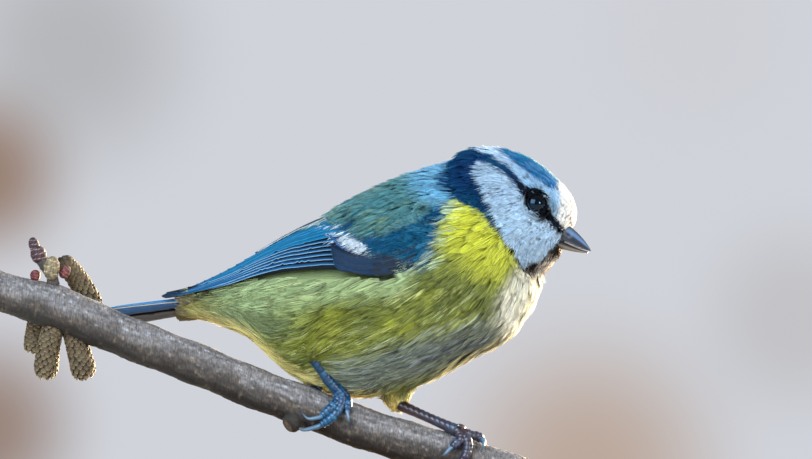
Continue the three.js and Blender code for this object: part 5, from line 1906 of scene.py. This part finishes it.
@dataclass
class Leg:
    """A bare shank, four scaled toes and their claws."""

    finishes: Finishes
    plan: LegPlan
    twig: Twig
    rng: np.random.Generator

    SHANK = (1.25, 1.1, 1.05, 1.12, 1.3)
    TOE = (1.15, 1.0, 1.12, 0.96, 1.05, 0.86)
    CLAW = (0.68, 0.62, 0.5, 0.34, 0.1)
    SCUTE = shade(10, 54, 92)
    SCUTE_LIGHT = shade(44, 106, 146)
    GAP = shade(3, 6, 12)
    SOLE = shade(40, 56, 68)
    WARM = shade(58, 30, 22)

    def build(self) -> None:
        """Makes the leg's scaled piece and its claws."""
        meshes, horn = Meshes(), Meshes()
        heel, ball = (np.array(p, float) for p in (self.plan.heel, self.plan.ball))
        shank = spline([heel, (heel + ball) / 2, ball], 66)[self.plan.hidden:]
        self.scaled(meshes, shank, self.SHANK, np.array((1.0, -0.35, 0.35)), 1.35)
        pad = spline([ball - (0, 0, 1.15), ball + (0, 0, 1.15)], 12)
        self.scaled(meshes, pad, (0.35, 1.1, 1.35, 1.1, 0.35), np.array((1.0, 0, 0)), 0.9)
        for rows, ends in zip(self.plan.toes, self.plan.claws):
            corners = [ball, *(self.twig.point(*row) for row in rows)]
            path = spline(corners, 64)
            self.scaled(meshes, path, self.TOE, self.twig.away(path), 0.95)
            nail = spline([corners[-1], *(self.twig.point(*row) for row in ends)], 26)
            self.claw(horn, nail)
        name = self.plan.name
        piece = meshes.piece(f"leg_{name}_scales", "leg_scales", self.finishes[Look.LEG])
        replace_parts(piece, f"shank_{name}", f"foot_{name}")
        piece = horn.piece(f"claws_{name}", "claw", self.finishes[Look.CLAW])
        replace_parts(piece, *(f"claw_{name}_{i}" for i in range(1, 5)))

    def scaled(self, meshes: Meshes, path: np.ndarray, radii: tuple, up: np.ndarray, period: float) -> None:
        """A tube with overlapping plates along its upper side and small round scales under it, darkened towards its
        root as painted shade.

        Args:
            meshes: Where it goes.
            path: Its middle line.
            radii: Radii evenly along it.
            up: The way that the plates look.
            period: A plate's length.
        """
        sides = 26
        s = path_length(path)
        share = s / s[-1]
        radius = np.interp(share, np.linspace(0, 1, len(radii)), radii)
        radius = radius * rounded(share, 0.965, 0.036, 0.05)
        angle = ring_angles(sides)
        front = smooth(-0.15, 0.25, np.cos(angle))[None]
        rows = s[:, None] / period + self.rng.uniform(0, 1) + 0.16 * np.cos(angle)[None]
        phase = rows % 1.0
        plate = 0.13 * np.sin(np.pi * phase**0.8) - 0.06
        beads = np.sin(s[:, None] * 2 * np.pi / 0.42 + angle[None] * 3) * np.sin(angle[None] * 9 + s[:, None] * 3)
        wide = radius[:, None] + front * plate + (1 - front) * 0.045 * beads
        rings = tube_rings(path, wide, up)
        tint = self.rng.normal(0, 1, int(rows.max()) + 3)[np.floor(rows).astype(int)]
        c = mix(self.SCUTE, self.SCUTE_LIGHT, np.clip(0.35 + 0.25 * tint, 0, 1))
        c = mix(c, self.SOLE, (1 - front) * np.clip(0.55 + 0.4 * beads, 0, 1))
        c = mix(c, self.GAP, front * np.exp(-((np.minimum(phase, 1 - phase) / 0.1) ** 2)))
        c = mix(c, self.WARM, self.plan.warmth * (0.6 + 0.4 * (1 - share))[:, None] + 0 * wide)
        # Darker towards the root, as painted shade where the tube leaves the feathers or the foot
        c = c * (0.4 + 0.6 * smooth(0, 0.18, share))[:, None, None]
        meshes.ringed(rings, c)

    def claw(self, meshes: Meshes, path: np.ndarray) -> None:
        """A curved, grooved claw.

        Args:
            meshes: Where it goes.
            path: Its middle line.
        """
        share = np.linspace(0, 1, len(path))
        angle = ring_angles(18)
        radius = np.interp(share, np.linspace(0, 1, 5), self.CLAW)[:, None]
        flat = 1 - 0.16 * np.sin(angle)[None] ** 2 - 0.16 * np.exp(-(((angle - np.pi) / 0.4) ** 2))[None]
        rings = tube_rings(path, radius * flat, self.twig.away(path))
        c = stops(share, [(0, shade(58, 92, 122)), (0.55, shade(84, 108, 130)), (1, shade(40, 48, 60))])
        # Lighter on the side away from the twig and darker on the side towards it, as painted light and shade
        meshes.ringed(rings, c[:, None] * (0.85 + 0.25 * np.cos(angle))[None, :, None])


@dataclass
class Perch:
    """The twig's bark, its stub and sawn ends, the short shoot with its buds, and the catkins."""

    finishes: Finishes
    twig: Twig
    rng: np.random.Generator

    STUB = ((-6.5, 150, 0), (-8, 150, 3), (-9.6, 150, 6))
    SHOOT = ((-63.6, 0, 2), (-64.4, 0, 6), (-65.3, 0, 65.6))
    # Each bud: middle, half width, half height, lean, the colours of its scales and of their edges
    BUDS = (
        ((-65.5, 0, 65.9), 1.75, 2.0, -20, (58, 34, 44), (150, 128, 120)),
        ((-66.5, 0, 68.0), 1.15, 1.7, -15, (52, 30, 42), (140, 120, 116)),
        ((-62.6, -1.6, 63.0), 1.75, 2.55, 5, (118, 104, 80), (176, 160, 126)),
        ((-59.8, -0.4, 62.2), 1.15, 1.5, 30, (96, 44, 46), (150, 104, 90)),
        ((-66.2, -0.6, 61.4), 1.15, 1.2, 0, (92, 34, 40), (140, 96, 84)),
    )
    CATKINS = (
        ((-65.4, 3.4, 53.6), (-66.2, 4.4, 49), (-66.5, 4.4, 44.8), 2.45),
        ((-61.9, 0.2, 52), (-63.3, -0.2, 46), (-64.1, -0.2, 39.3), 2.75),
        ((-58.2, 1.2, 50), (-56.8, 1.2, 45), (-55.4, 1.2, 39.2), 2.8),
        ((-60.6, 3.6, 64.6), (-57.4, 4.6, 61), (-53, 4.8, 53.6), 2.5),
    )
    BARK = shade(74, 66, 62)
    # The bark's top in painted light from the sky, and its underside in painted shade
    LIT_BARK_TOP = shade(118, 114, 116)
    SHADED_BARK = shade(34, 27, 22)
    PORE = shade(132, 112, 86)
    FLECK = shade(150, 132, 106)
    SKY_LIT_FLECK = shade(176, 186, 206)
    BRACT = shade(70, 54, 38)
    BRACT_GREEN = shade(80, 70, 48)
    BRACT_TIP = shade(176, 150, 112)
    # Sawn wood from its heart to its bark
    SAWN = ((0, shade(96, 70, 48)), (0.13, shade(140, 104, 68)), (0.16, shade(204, 176, 128)),
            (0.85, shade(190, 158, 108)), (0.88, shade(110, 124, 74)), (0.96, shade(80, 66, 52)))

    def build(self) -> None:
        """Makes the perch's pieces."""
        self.bark()
        self.spur()
        for number, row in enumerate(self.CATKINS):
            self.catkin(number + 1, *row)

    def bark(self) -> None:
        """The twig with pores across it, fine wrinkles and sawn ends, and its stub."""
        meshes = Meshes()
        x = np.linspace(-76, 41.5, 480)
        angle = ring_angles(80)
        grid_x, grid_a = np.meshgrid(x, angle, indexing="ij")
        radius = self.twig.LINE(grid_x)[..., 1]
        knot = 0.7 * np.exp(-(((grid_x + 61) / 4) ** 2)) * np.clip(np.cos(grid_a), 0, 1)
        radius = radius + knot + 0.12 * np.sin(grid_x * 0.55 + 2 * grid_a)
        ball = np.stack([grid_x, 4.5 * np.cos(grid_a), 4.5 * np.sin(grid_a)], -1).reshape(-1, 3)
        fine = noise(ball, (2.6, 0.5, 0.5), 3).reshape(radius.shape)
        broad = noise(ball, (5, 2, 2), 4).reshape(radius.shape)
        pores = np.zeros(radius.shape)
        for px, pa in zip(self.rng.uniform(-75, 41, 260), self.rng.uniform(0, 2 * np.pi, 260)):
            wide = self.rng.uniform(0.35, 0.9)
            beside = (grid_a - pa + np.pi) % (2 * np.pi) - np.pi
            pores = np.maximum(pores, np.exp(-(((grid_x - px) / 0.22) ** 2) - (beside * 4.5 / wide) ** 2))
        flakes = noise(ball, (0.9, 0.45, 0.45), 9).reshape(radius.shape)
        radius = radius - 0.12 + 0.12 * fine + 0.06 * broad + 0.08 * pores + 0.08 * smooth(0.5, 0.7, flakes)
        rings = self.twig.point(grid_x, np.degrees(grid_a), radius)
        over = np.cos(grid_a - 0.5)
        # The twig's top is painted lighter as painted light from above, and its underside darker as painted shade
        lit = over + 0.5 * (broad - 0.5)
        c = mix(self.BARK, self.LIT_BARK_TOP, smooth(0.35, 0.95, lit))
        c = mix(c, self.SHADED_BARK, smooth(0.5, -0.4, lit))
        c = mix(c, self.PORE, 0.5 * pores)
        # The flecks are real; they turn bluish-white on the top as painted sky light and fade on the underside as
        # painted shade
        fleck = mix(self.FLECK, self.SKY_LIT_FLECK, smooth(0.3, 0.8, over))
        c = mix(c, fleck, 0.4 * smooth(0.78, 0.92, flakes) * smooth(-0.2, 0.3, over))
        c = c * (0.45 + 0.75 * fine + 0.35 * (flakes - 0.5))[..., None]
        shares = np.array([0.97, 0.9, 0.86, 0.6, 0.35, 0.14, 0.04])
        caps = []
        for end, order in ((0, shares[::-1]), (-1, shares)):
            place = self.twig.point(x[end], 0.0, 0.0)
            cap = place + (rings[end] - place) * order[:, None, None]
            tone = stops(order, self.SAWN)[:, None] * (1 + 0.1 * np.sin(order * 40))[:, None, None]
            caps.append((cap, np.broadcast_to(tone, cap.shape)))
        (first, first_c), (last, last_c) = caps
        meshes.ringed(np.concatenate([first, rings, last]), np.concatenate([first_c, c, last_c]))
        self.stub(meshes)
        piece = meshes.piece("twig_bark", "bark", self.finishes[Look.BARK])
        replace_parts(piece, "perch_twig")

    def stub(self, meshes: Meshes) -> None:
        """The cut stub under the twig.

        Args:
            meshes: Where it goes.
        """
        path = spline([self.twig.point(*row) for row in self.STUB], 24)
        angle = ring_angles(36)
        radius = np.interp(np.linspace(0, 1, 24), (0, 0.35, 0.7, 0.9, 1), (2.7, 2.45, 2.35, 2.1, 1.5))
        grid = np.meshgrid(np.arange(24) * 0.3, np.cos(angle), np.sin(angle)[:1], indexing="ij")
        fine = noise(np.stack(grid, -1).reshape(-1, 3), 0.4, 5).reshape(24, 36)
        rings = tube_rings(path, radius[:, None] + 0.1 * fine)
        last = rings[-1].mean(0)
        shares = np.array([0.92, 0.8, 0.5, 0.2])
        caps = last + (rings[-1] - last) * shares[:, None, None]
        # The stub, under the twig, is painted in the bark's painted shade colour
        c = np.broadcast_to(self.SHADED_BARK, rings.shape) * (0.8 + 0.4 * fine)[..., None]
        ends = stops(shares, [(0, shade(70, 50, 36)), (0.3, shade(96, 74, 52)), (1, shade(60, 48, 38))])
        ends = np.broadcast_to(ends[:, None], caps.shape)
        meshes.ringed(np.concatenate([rings, caps]), np.concatenate([c, ends]))

    def spur(self) -> None:
        """The short shoot and its buds, whose scales overlap upwards."""
        meshes = Meshes()
        corners = [*(self.twig.point(*row) for row in self.SHOOT[:2]), np.array(self.SHOOT[2], float)]
        path = spline(corners, 40)
        s = path_length(path)
        radius = np.interp(s / s[-1], np.linspace(0, 1, 5), (1.7, 1.4, 1.2, 1.3, 1.35))
        scars = 0.14 * np.exp(-((((s % 2.1) - 1.0) / 0.25) ** 2))
        angle = ring_angles(28)
        ball = np.stack([np.repeat(s, 28), np.tile(np.cos(angle), 40), np.tile(np.sin(angle), 40)], 1)
        fine = noise(ball, (1.2, 0.3, 0.3), 6).reshape(40, 28)
        wide = (radius + scars)[:, None] + 0.14 * (fine - 0.5)
        c = np.broadcast_to(self.BARK, wide.shape + (3,)) * (0.6 + 0.6 * fine)[..., None]
        meshes.ringed(tube_rings(path, wide, (1, 0, 0)), c)
        for middle, half, tall, lean, colour, edge in self.BUDS:
            self.bud(meshes, np.array(middle, float), half, tall, lean, shade(*colour), shade(*edge))
        piece = meshes.piece("spur_buds", "bark", self.finishes[Look.BARK])
        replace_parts(piece, "perch_spur")

    def bud(self, meshes: Meshes, middle: np.ndarray, wide: float, tall: float, lean: float,
            colour: np.ndarray, edge: np.ndarray) -> None:
        """A bud of spiral scales.

        Args:
            meshes: Where it goes.
            middle: Its middle.
            wide: Half its width.
            tall: Half its height.
            lean: Its lean towards +X, degrees.
            colour: Its scales' colour.
            edge: Their edges' colour.
        """
        polar = np.linspace(0.03, np.pi - 0.03, 34)
        angle = ring_angles(32)
        up = -np.cos(polar)[:, None] + 0 * angle
        turns = (1.9 * (up + 1) + angle[None] / (2 * np.pi) + 0.16 * np.abs(np.sin(angle * 1.5))[None]) % 1.0
        step = 0.07 * (turns - 0.6) - 0.05 * np.exp(-((turns / 0.08) ** 2))
        ring = np.sin(polar)[:, None] ** 0.9 * (1 + step) * wide
        points = np.stack([ring * np.cos(angle), ring * np.sin(angle), up * tall * 1.02], -1)
        points = middle + points @ turn("y", lean).T
        c = mix(colour, edge, smooth(0.8, 0.95, turns) * 0.85)
        # Each scale is darkened where the one above overlaps it, as painted shade
        c = mix(c, colour * 0.3, np.exp(-((turns / 0.07) ** 2)))
        meshes.ringed(points, c)

    def catkin(self, number: int, root: tuple, bend: tuple, tip: tuple, radius: float) -> None:
        """A closed catkin: a core with blunt bracts in a spiral.

        Args:
            number: Its number.
            root: Where it hangs from.
            bend: A point between.
            tip: Its end.
            radius: Its radius.
        """
        steps = np.arange(50)
        path = spline([root, bend, tip], len(steps))
        share = np.linspace(0, 1, len(steps))
        body = radius * (0.82 + 0.18 * share) * rounded(share, 0.8, 0.21, 0.06)
        body = body * np.sqrt(smooth(-0.08, 0.08, share))
        meshes = Meshes()
        meshes.ringed(tube_rings(path, np.repeat(body[:, None] * 0.88, 20, 1), (0, 1, 0)), shade(60, 44, 30))
        along = unit(np.gradient(path, axis=0))
        count = int(path_length(path)[-1] * 13)
        golden = np.pi * (3 - math.sqrt(5))
        for i in range(count):
            t = (i + 0.5) / count
            k = t * steps[-1]
            centre = np.array([np.interp(k, steps, path[:, n]) for n in range(3)])
            axis = unit(np.array([np.interp(k, steps, along[:, n]) for n in range(3)]))
            side = unit(np.cross(axis, (0, 1, 0)))
            top = np.cross(side, axis)
            a = golden * i + self.rng.normal(0, 0.05)
            out = top * math.cos(a) + side * math.sin(a)
            flank = np.cross(axis, out)
            r = float(np.interp(k, steps, body))
            size = self.rng.uniform(0.85, 1.1)
            stations = np.array([-0.75, -0.3, 0.2, 0.55, 0.72]) * size
            lift = np.array([-0.35, -0.05, 0.08, 0.1, 0.04]) + self.rng.normal(0, 0.03)
            half = np.array([0.3, 0.62, 0.72, 0.5, 0.16]) * size * min(1, r / 1.6)
            deep = np.array([0.1, 0.2, 0.22, 0.16, 0.05])
            section = ring_angles(8)
            spot = (centre + axis * stations[:, None] + out * (r * 0.93 + lift)[:, None])[:, None]
            rings = spot + flank * (half[:, None] * np.cos(section))[..., None]
            rings = rings + out * (deep[:, None] * np.sin(section))[..., None]
            green = noise(centre[None], 2.0, 8)[0]
            base = mix(self.BRACT, self.BRACT_GREEN, green) * self.rng.uniform(0.75, 1.25)
            # Each bract is darkened towards its root, under the bracts before it, as painted shade
            ramp = [(-0.75, base * 0.35), (0.1, base), (0.5, base * 1.2), (0.72, self.BRACT_TIP)]
            c = stops(stations / size, ramp)
            meshes.ringed(rings, np.clip(np.broadcast_to(c[:, None], rings.shape), 0, 1))
        piece = meshes.piece(f"catkin_{number}_bracts", "catkin", self.finishes[Look.CATKIN])
        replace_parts(piece, f"perch_catkin_{number}")


@dataclass
class Stand:
    """The display stand: a wooden board with a moulded edge and a turned brass upright."""

    finishes: Finishes
    twig: Twig
    length: float = 104.0
    width: float = 62.0
    height: float = 6.0
    corner: float = 14.0
    rod_x: float = 13.0
    moulding: float = 1.6
    foot_edge: float = 0.5

    def build(self) -> None:
        """Makes both pieces."""
        self.board()
        self.upright()

    def board(self) -> None:
        """A board with rounded corners and a moulded upper edge."""
        bpy.ops.object.select_all(action="DESELECT")
        bpy.ops.mesh.primitive_cube_add(size=1)
        board = bpy.context.object
        board.name = "stand_board"
        mode("EDIT")
        size = (self.length * MM, self.width * MM, self.height * MM)
        bpy.ops.transform.resize(value=size)
        bpy.ops.transform.translate(value=(0, 0, self.height * MM / 2))
        self.pick_edges(board, lambda a, b: abs(a.x - b.x) < 1e-6 and abs(a.y - b.y) < 1e-6)
        bpy.ops.mesh.bevel(offset=self.corner * MM, segments=14)
        top = self.height * MM
        self.pick_edges(board, lambda a, b: min(a.z, b.z) > top - 1e-6)
        bpy.ops.mesh.bevel(offset=self.moulding * MM, segments=5, profile=0.35)
        self.pick_edges(board, lambda a, b: max(a.z, b.z) < 1e-6)
        bpy.ops.mesh.bevel(offset=self.foot_edge * MM, segments=2)
        mode("OBJECT")
        bpy.ops.object.shade_smooth_by_angle(angle=math.radians(28))
        board.data.materials.append(self.finishes[Look.WOOD])
        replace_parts(settle(board), "stand_base")

    @staticmethod
    def pick_edges(obj: bpy.types.Object, wanted: object) -> None:
        """Selects just the edges whose ends pass a test.

        Args:
            obj: The object in edit mode.
            wanted: A test of two ends.
        """
        bpy.ops.mesh.select_all(action="DESELECT")
        bpy.ops.mesh.select_mode(type="EDGE")
        mode("OBJECT")
        vertices = obj.data.vertices
        for edge in obj.data.edges:
            a, b = (vertices[i].co for i in edge.vertices)
            edge.select = wanted(a, b)
        mode("EDIT")

    def upright(self) -> None:
        """A rod with a turned foot and a small cup under the twig, extruded ring by ring."""
        foot = self.height + 0.3
        under = float(self.twig.LINE(np.array(self.rod_x))[0]) - 4.5
        profile = [(4.0, foot), (4.2, foot + 0.25), (4.2, foot + 0.9), (3.9, foot + 1.15), (2.9, foot + 1.4),
                   (2.5, foot + 1.75), (2.6, foot + 2.1), (2.35, foot + 2.5), (2.2, foot + 3.0),
                   (2.2, under - 2.2), (2.3, under - 1.7), (2.3, under - 1.4), (1.6, under - 1.1),
                   (1.6, under + 0.9)]
        bpy.ops.object.select_all(action="DESELECT")
        radius, z = profile[0]
        bpy.ops.mesh.primitive_circle_add(vertices=48, radius=radius * MM, fill_type="TRIFAN",
                                          location=(self.rod_x * MM, 0, z * MM))
        rod = bpy.context.object
        rod.name = "stand_upright"
        bpy.ops.object.transform_apply()
        mode("EDIT")
        bpy.ops.mesh.select_all(action="SELECT")
        for (r0, z0), (r1, z1) in zip(profile, profile[1:]):
            bpy.ops.mesh.extrude_region_move(TRANSFORM_OT_translate={"value": (0, 0, (z1 - z0) * MM)})
            bpy.ops.transform.resize(value=(r1 / r0, r1 / r0, 1), center_override=(self.rod_x * MM, 0, z1 * MM))
        bpy.ops.mesh.select_all(action="SELECT")
        bpy.ops.mesh.normals_make_consistent(inside=False)
        mode("OBJECT")
        tree = BVHTree.FromObject(bpy.data.objects["twig_bark"], bpy.context.evaluated_depsgraph_get())
        for vertex in rod.data.vertices:
            if vertex.co.z > (under - 1) * MM:
                hit = tree.ray_cast(vertex.co - Vector((0, 0, 0.004)), Vector((0, 0, 1)))
                if hit[0]:
                    vertex.co.z = hit[0].z
        bpy.ops.object.shade_smooth_by_angle(angle=math.radians(32))
        rod.data.materials.append(self.finishes[Look.BRASS])
        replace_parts(settle(rod), "stand_rod")


LEG_PLANS = (
    LegPlan(
        name="right", heel=(-6.9, -7.7, 45), ball=(-2.3, -5.1, 38.4),
        toes=(((-4.4, -4, 6.5), (-6.2, -24, 5.8), (-8.2, -44, 5.4)),
              ((-1.9, 42, 6.2), (-2.6, 72, 5.8), (-3.7, 95, 5.5)),
              ((-1.1, 44, 6.3), (-1.4, 84, 5.8), (-3.2, 116, 5.5)),
              ((-0.9, 30, 6.3), (0.1, 46, 5.8), (0.8, 64, 5.4))),
        claws=(((-8.6, -50, 5.6), (-9.9, -66, 5.8), (-10.6, -80, 4.95)),
               ((-4.3, 101, 5.8), (-6.2, 110, 6.1), (-8.0, 104, 4.95)),
               ((-4.3, 126, 5.8), (-6.4, 142, 6.1), (-8.3, 146, 4.95)),
               ((0.9, 68, 5.7), (1.6, 82, 5.7), (2.2, 94, 4.95))),
        warmth=0.0, hidden=18,
    ),
    LegPlan(
        name="left", heel=(12.8, 3.4, 33.3), ball=(25.6, -2.9, 27.7),
        toes=(((24.6, 6, 5.9), (23.2, -22, 5.8), (22, -46, 5.4)),
              ((25.2, 48, 5.9), (24.5, 62, 5.7), (23.9, 74, 5.4)),
              ((26.5, 50, 6.0), (27.1, 78, 5.8), (26.6, 104, 5.5)),
              ((27, 26, 5.9), (28.2, 18, 5.8), (29.2, 24, 5.5))),
        claws=(((21.6, -52, 5.6), (20.6, -70, 5.8), (20, -84, 4.95)),
               ((23.6, 78, 5.7), (22.9, 92, 5.7), (22.2, 102, 4.95)),
               ((26.2, 112, 5.8), (25.2, 132, 6.1), (24, 144, 4.95)),
               ((29.5, 28, 5.8), (29.9, 46, 6.0), (29.8, 62, 4.95))),
        warmth=0.85, hidden=2,
    ),
)


@dataclass
class Studio:
    """Camera, lights and the plain floor."""

    # Where the camera stands, in millimetres, and its long lens, which keep the photo's framing
    CAMERA = (14.35, -3922, 71.4)
    LENS = 800
    SENSOR = 36
    AIM = (0.012, 0, 0.06)
    # Each light: its name, place in metres, size, watts and colour
    LIGHTS = (
        ("back sun", (0.85, 0.75, 0.3), 0.2, 36, (1.0, 0.88, 0.7)),
        ("low warm", (0.3, 0.6, 0.04), 0.07, 46, (1.0, 0.74, 0.42)),
        ("sky fill", (-0.6, -1.1, 0.8), 1.1, 36, (0.76, 0.9, 1.0)),
        ("front fill", (0.95, -0.85, 0.4), 0.3, 9, (1.0, 0.97, 0.92)),
    )
    SKY = (208, 211, 218)
    # Each patch: its place right and up from straight ahead, its reach, its colour and its strength
    PATCHES = (
        (-0.0185, 0.0100, 0.0110, (172, 173, 176), 0.75), (-0.0235, 0.0030, 0.0075, (150, 124, 108), 0.95),
        (-0.0235, -0.0110, 0.0085, (150, 128, 116), 0.95), (0.0100, -0.0135, 0.0120, (184, 160, 142), 0.85),
        (0.0215, -0.0050, 0.0085, (190, 188, 190), 0.7), (0.0160, 0.0110, 0.0100, (206, 206, 212), 0.6),
    )

    def build(self) -> None:
        """Sets them up."""
        place = tuple(value * MM for value in self.CAMERA)
        bpy.ops.object.camera_add(location=place, rotation=(math.pi / 2, 0, 0))
        camera = bpy.context.object
        camera.data.lens = self.LENS
        camera.data.sensor_width = self.SENSOR
        camera.data.clip_end = 100
        bpy.context.scene.camera = camera
        for row in self.LIGHTS:
            self.light(*row)
        self.world()
        bpy.ops.mesh.primitive_circle_add(vertices=96, radius=1.6, fill_type="NGON", location=(0, 0, 0))
        floor = bpy.context.object
        floor.name = "floor"
        f = Finish("Floor")
        where = f.node("TexCoord").outputs["Object"]
        soft = f.node("TexNoise", {"Vector": where, "Scale": 3.0}).outputs["Fac"]
        grey = f.node("MapRange", {"Value": soft, "To Min": 0.60, "To Max": 0.64}).outputs["Result"]
        pale = f.node("CombineColor", {"Red": grey, "Green": grey, "Blue": grey}).outputs["Color"]
        f.set(Base_Color=pale, Roughness=0.9)
        floor.data.materials.append(f.material)
        bpy.context.scene.view_settings.view_transform = "Standard"

    @staticmethod
    def light(name: str, place: tuple, size: float, power: float, colour: tuple) -> None:
        """Adds one area light that looks at the bird.

        Args:
            name: Its name.
            place: Where it stands, in metres.
            size: How wide it is.
            power: Its strength in watts.
            colour: Its colour.
        """
        bpy.ops.object.light_add(type="AREA", location=place)
        light = bpy.context.object
        light.name = name
        light.data.energy = power
        light.data.size = size
        light.data.color = colour
        aim = Vector(Studio.AIM) - Vector(place)
        light.rotation_euler = aim.to_track_quat("-Z", "Y").to_euler()

    def world(self) -> None:
        """A pale soft backdrop with a few faint warm and grey patches, as far out of focus."""
        world = bpy.data.worlds.new("Backdrop")
        bpy.context.scene.world = world
        world.use_nodes = True
        g = Graph(world.node_tree)
        way = g.node("TexCoord").outputs["Generated"]
        colour: object = (*shade(*self.SKY), 1.0)
        for right, up, reach, tint, strength in self.PATCHES:
            apart = g.node("VectorMath", {0: way, 1: (right, 1.0, up)}, operation="DISTANCE").outputs["Value"]
            near = g.node("MapRange", {"Value": apart, "From Min": reach, "From Max": 0.0, "To Max": strength},
                          interpolation_type="SMOOTHERSTEP").outputs["Result"]
            blend = g.node("Mix", {0: near, 6: colour, 7: (*shade(*tint), 1.0)}, data_type="RGBA")
            colour = blend.outputs[2]
        background = world.node_tree.nodes["Background"].inputs
        g.put(background["Color"], colour)
        seen = g.node("LightPath").outputs["Is Camera Ray"]
        strength = g.node("MapRange", {"Value": seen, "To Min": 0.5, "To Max": 1.0}).outputs["Result"]
        g.put(background["Strength"], strength)


def main() -> None:
    """Builds the bird, its perch and its stand, and lights them."""
    logging.basicConfig(level=logging.INFO, format="%(message)s")
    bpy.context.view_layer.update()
    finishes = Finishes()
    Body(finishes, sparse=1.0).build()
    for number, side in enumerate(Side):
        Wing(finishes, side, np.random.default_rng(SEED + number)).build()
    Tail(finishes, np.random.default_rng(SEED + 2)).build()
    Face(finishes).build()
    twig = Twig()
    for number, plan in enumerate(LEG_PLANS):
        Leg(finishes, plan, twig, np.random.default_rng(SEED + 3 + number)).build()
    Perch(finishes, twig, np.random.default_rng(SEED + 5)).build()
    Stand(finishes, twig).build()
    Studio().build()


if __name__ == "__main__":
    main()
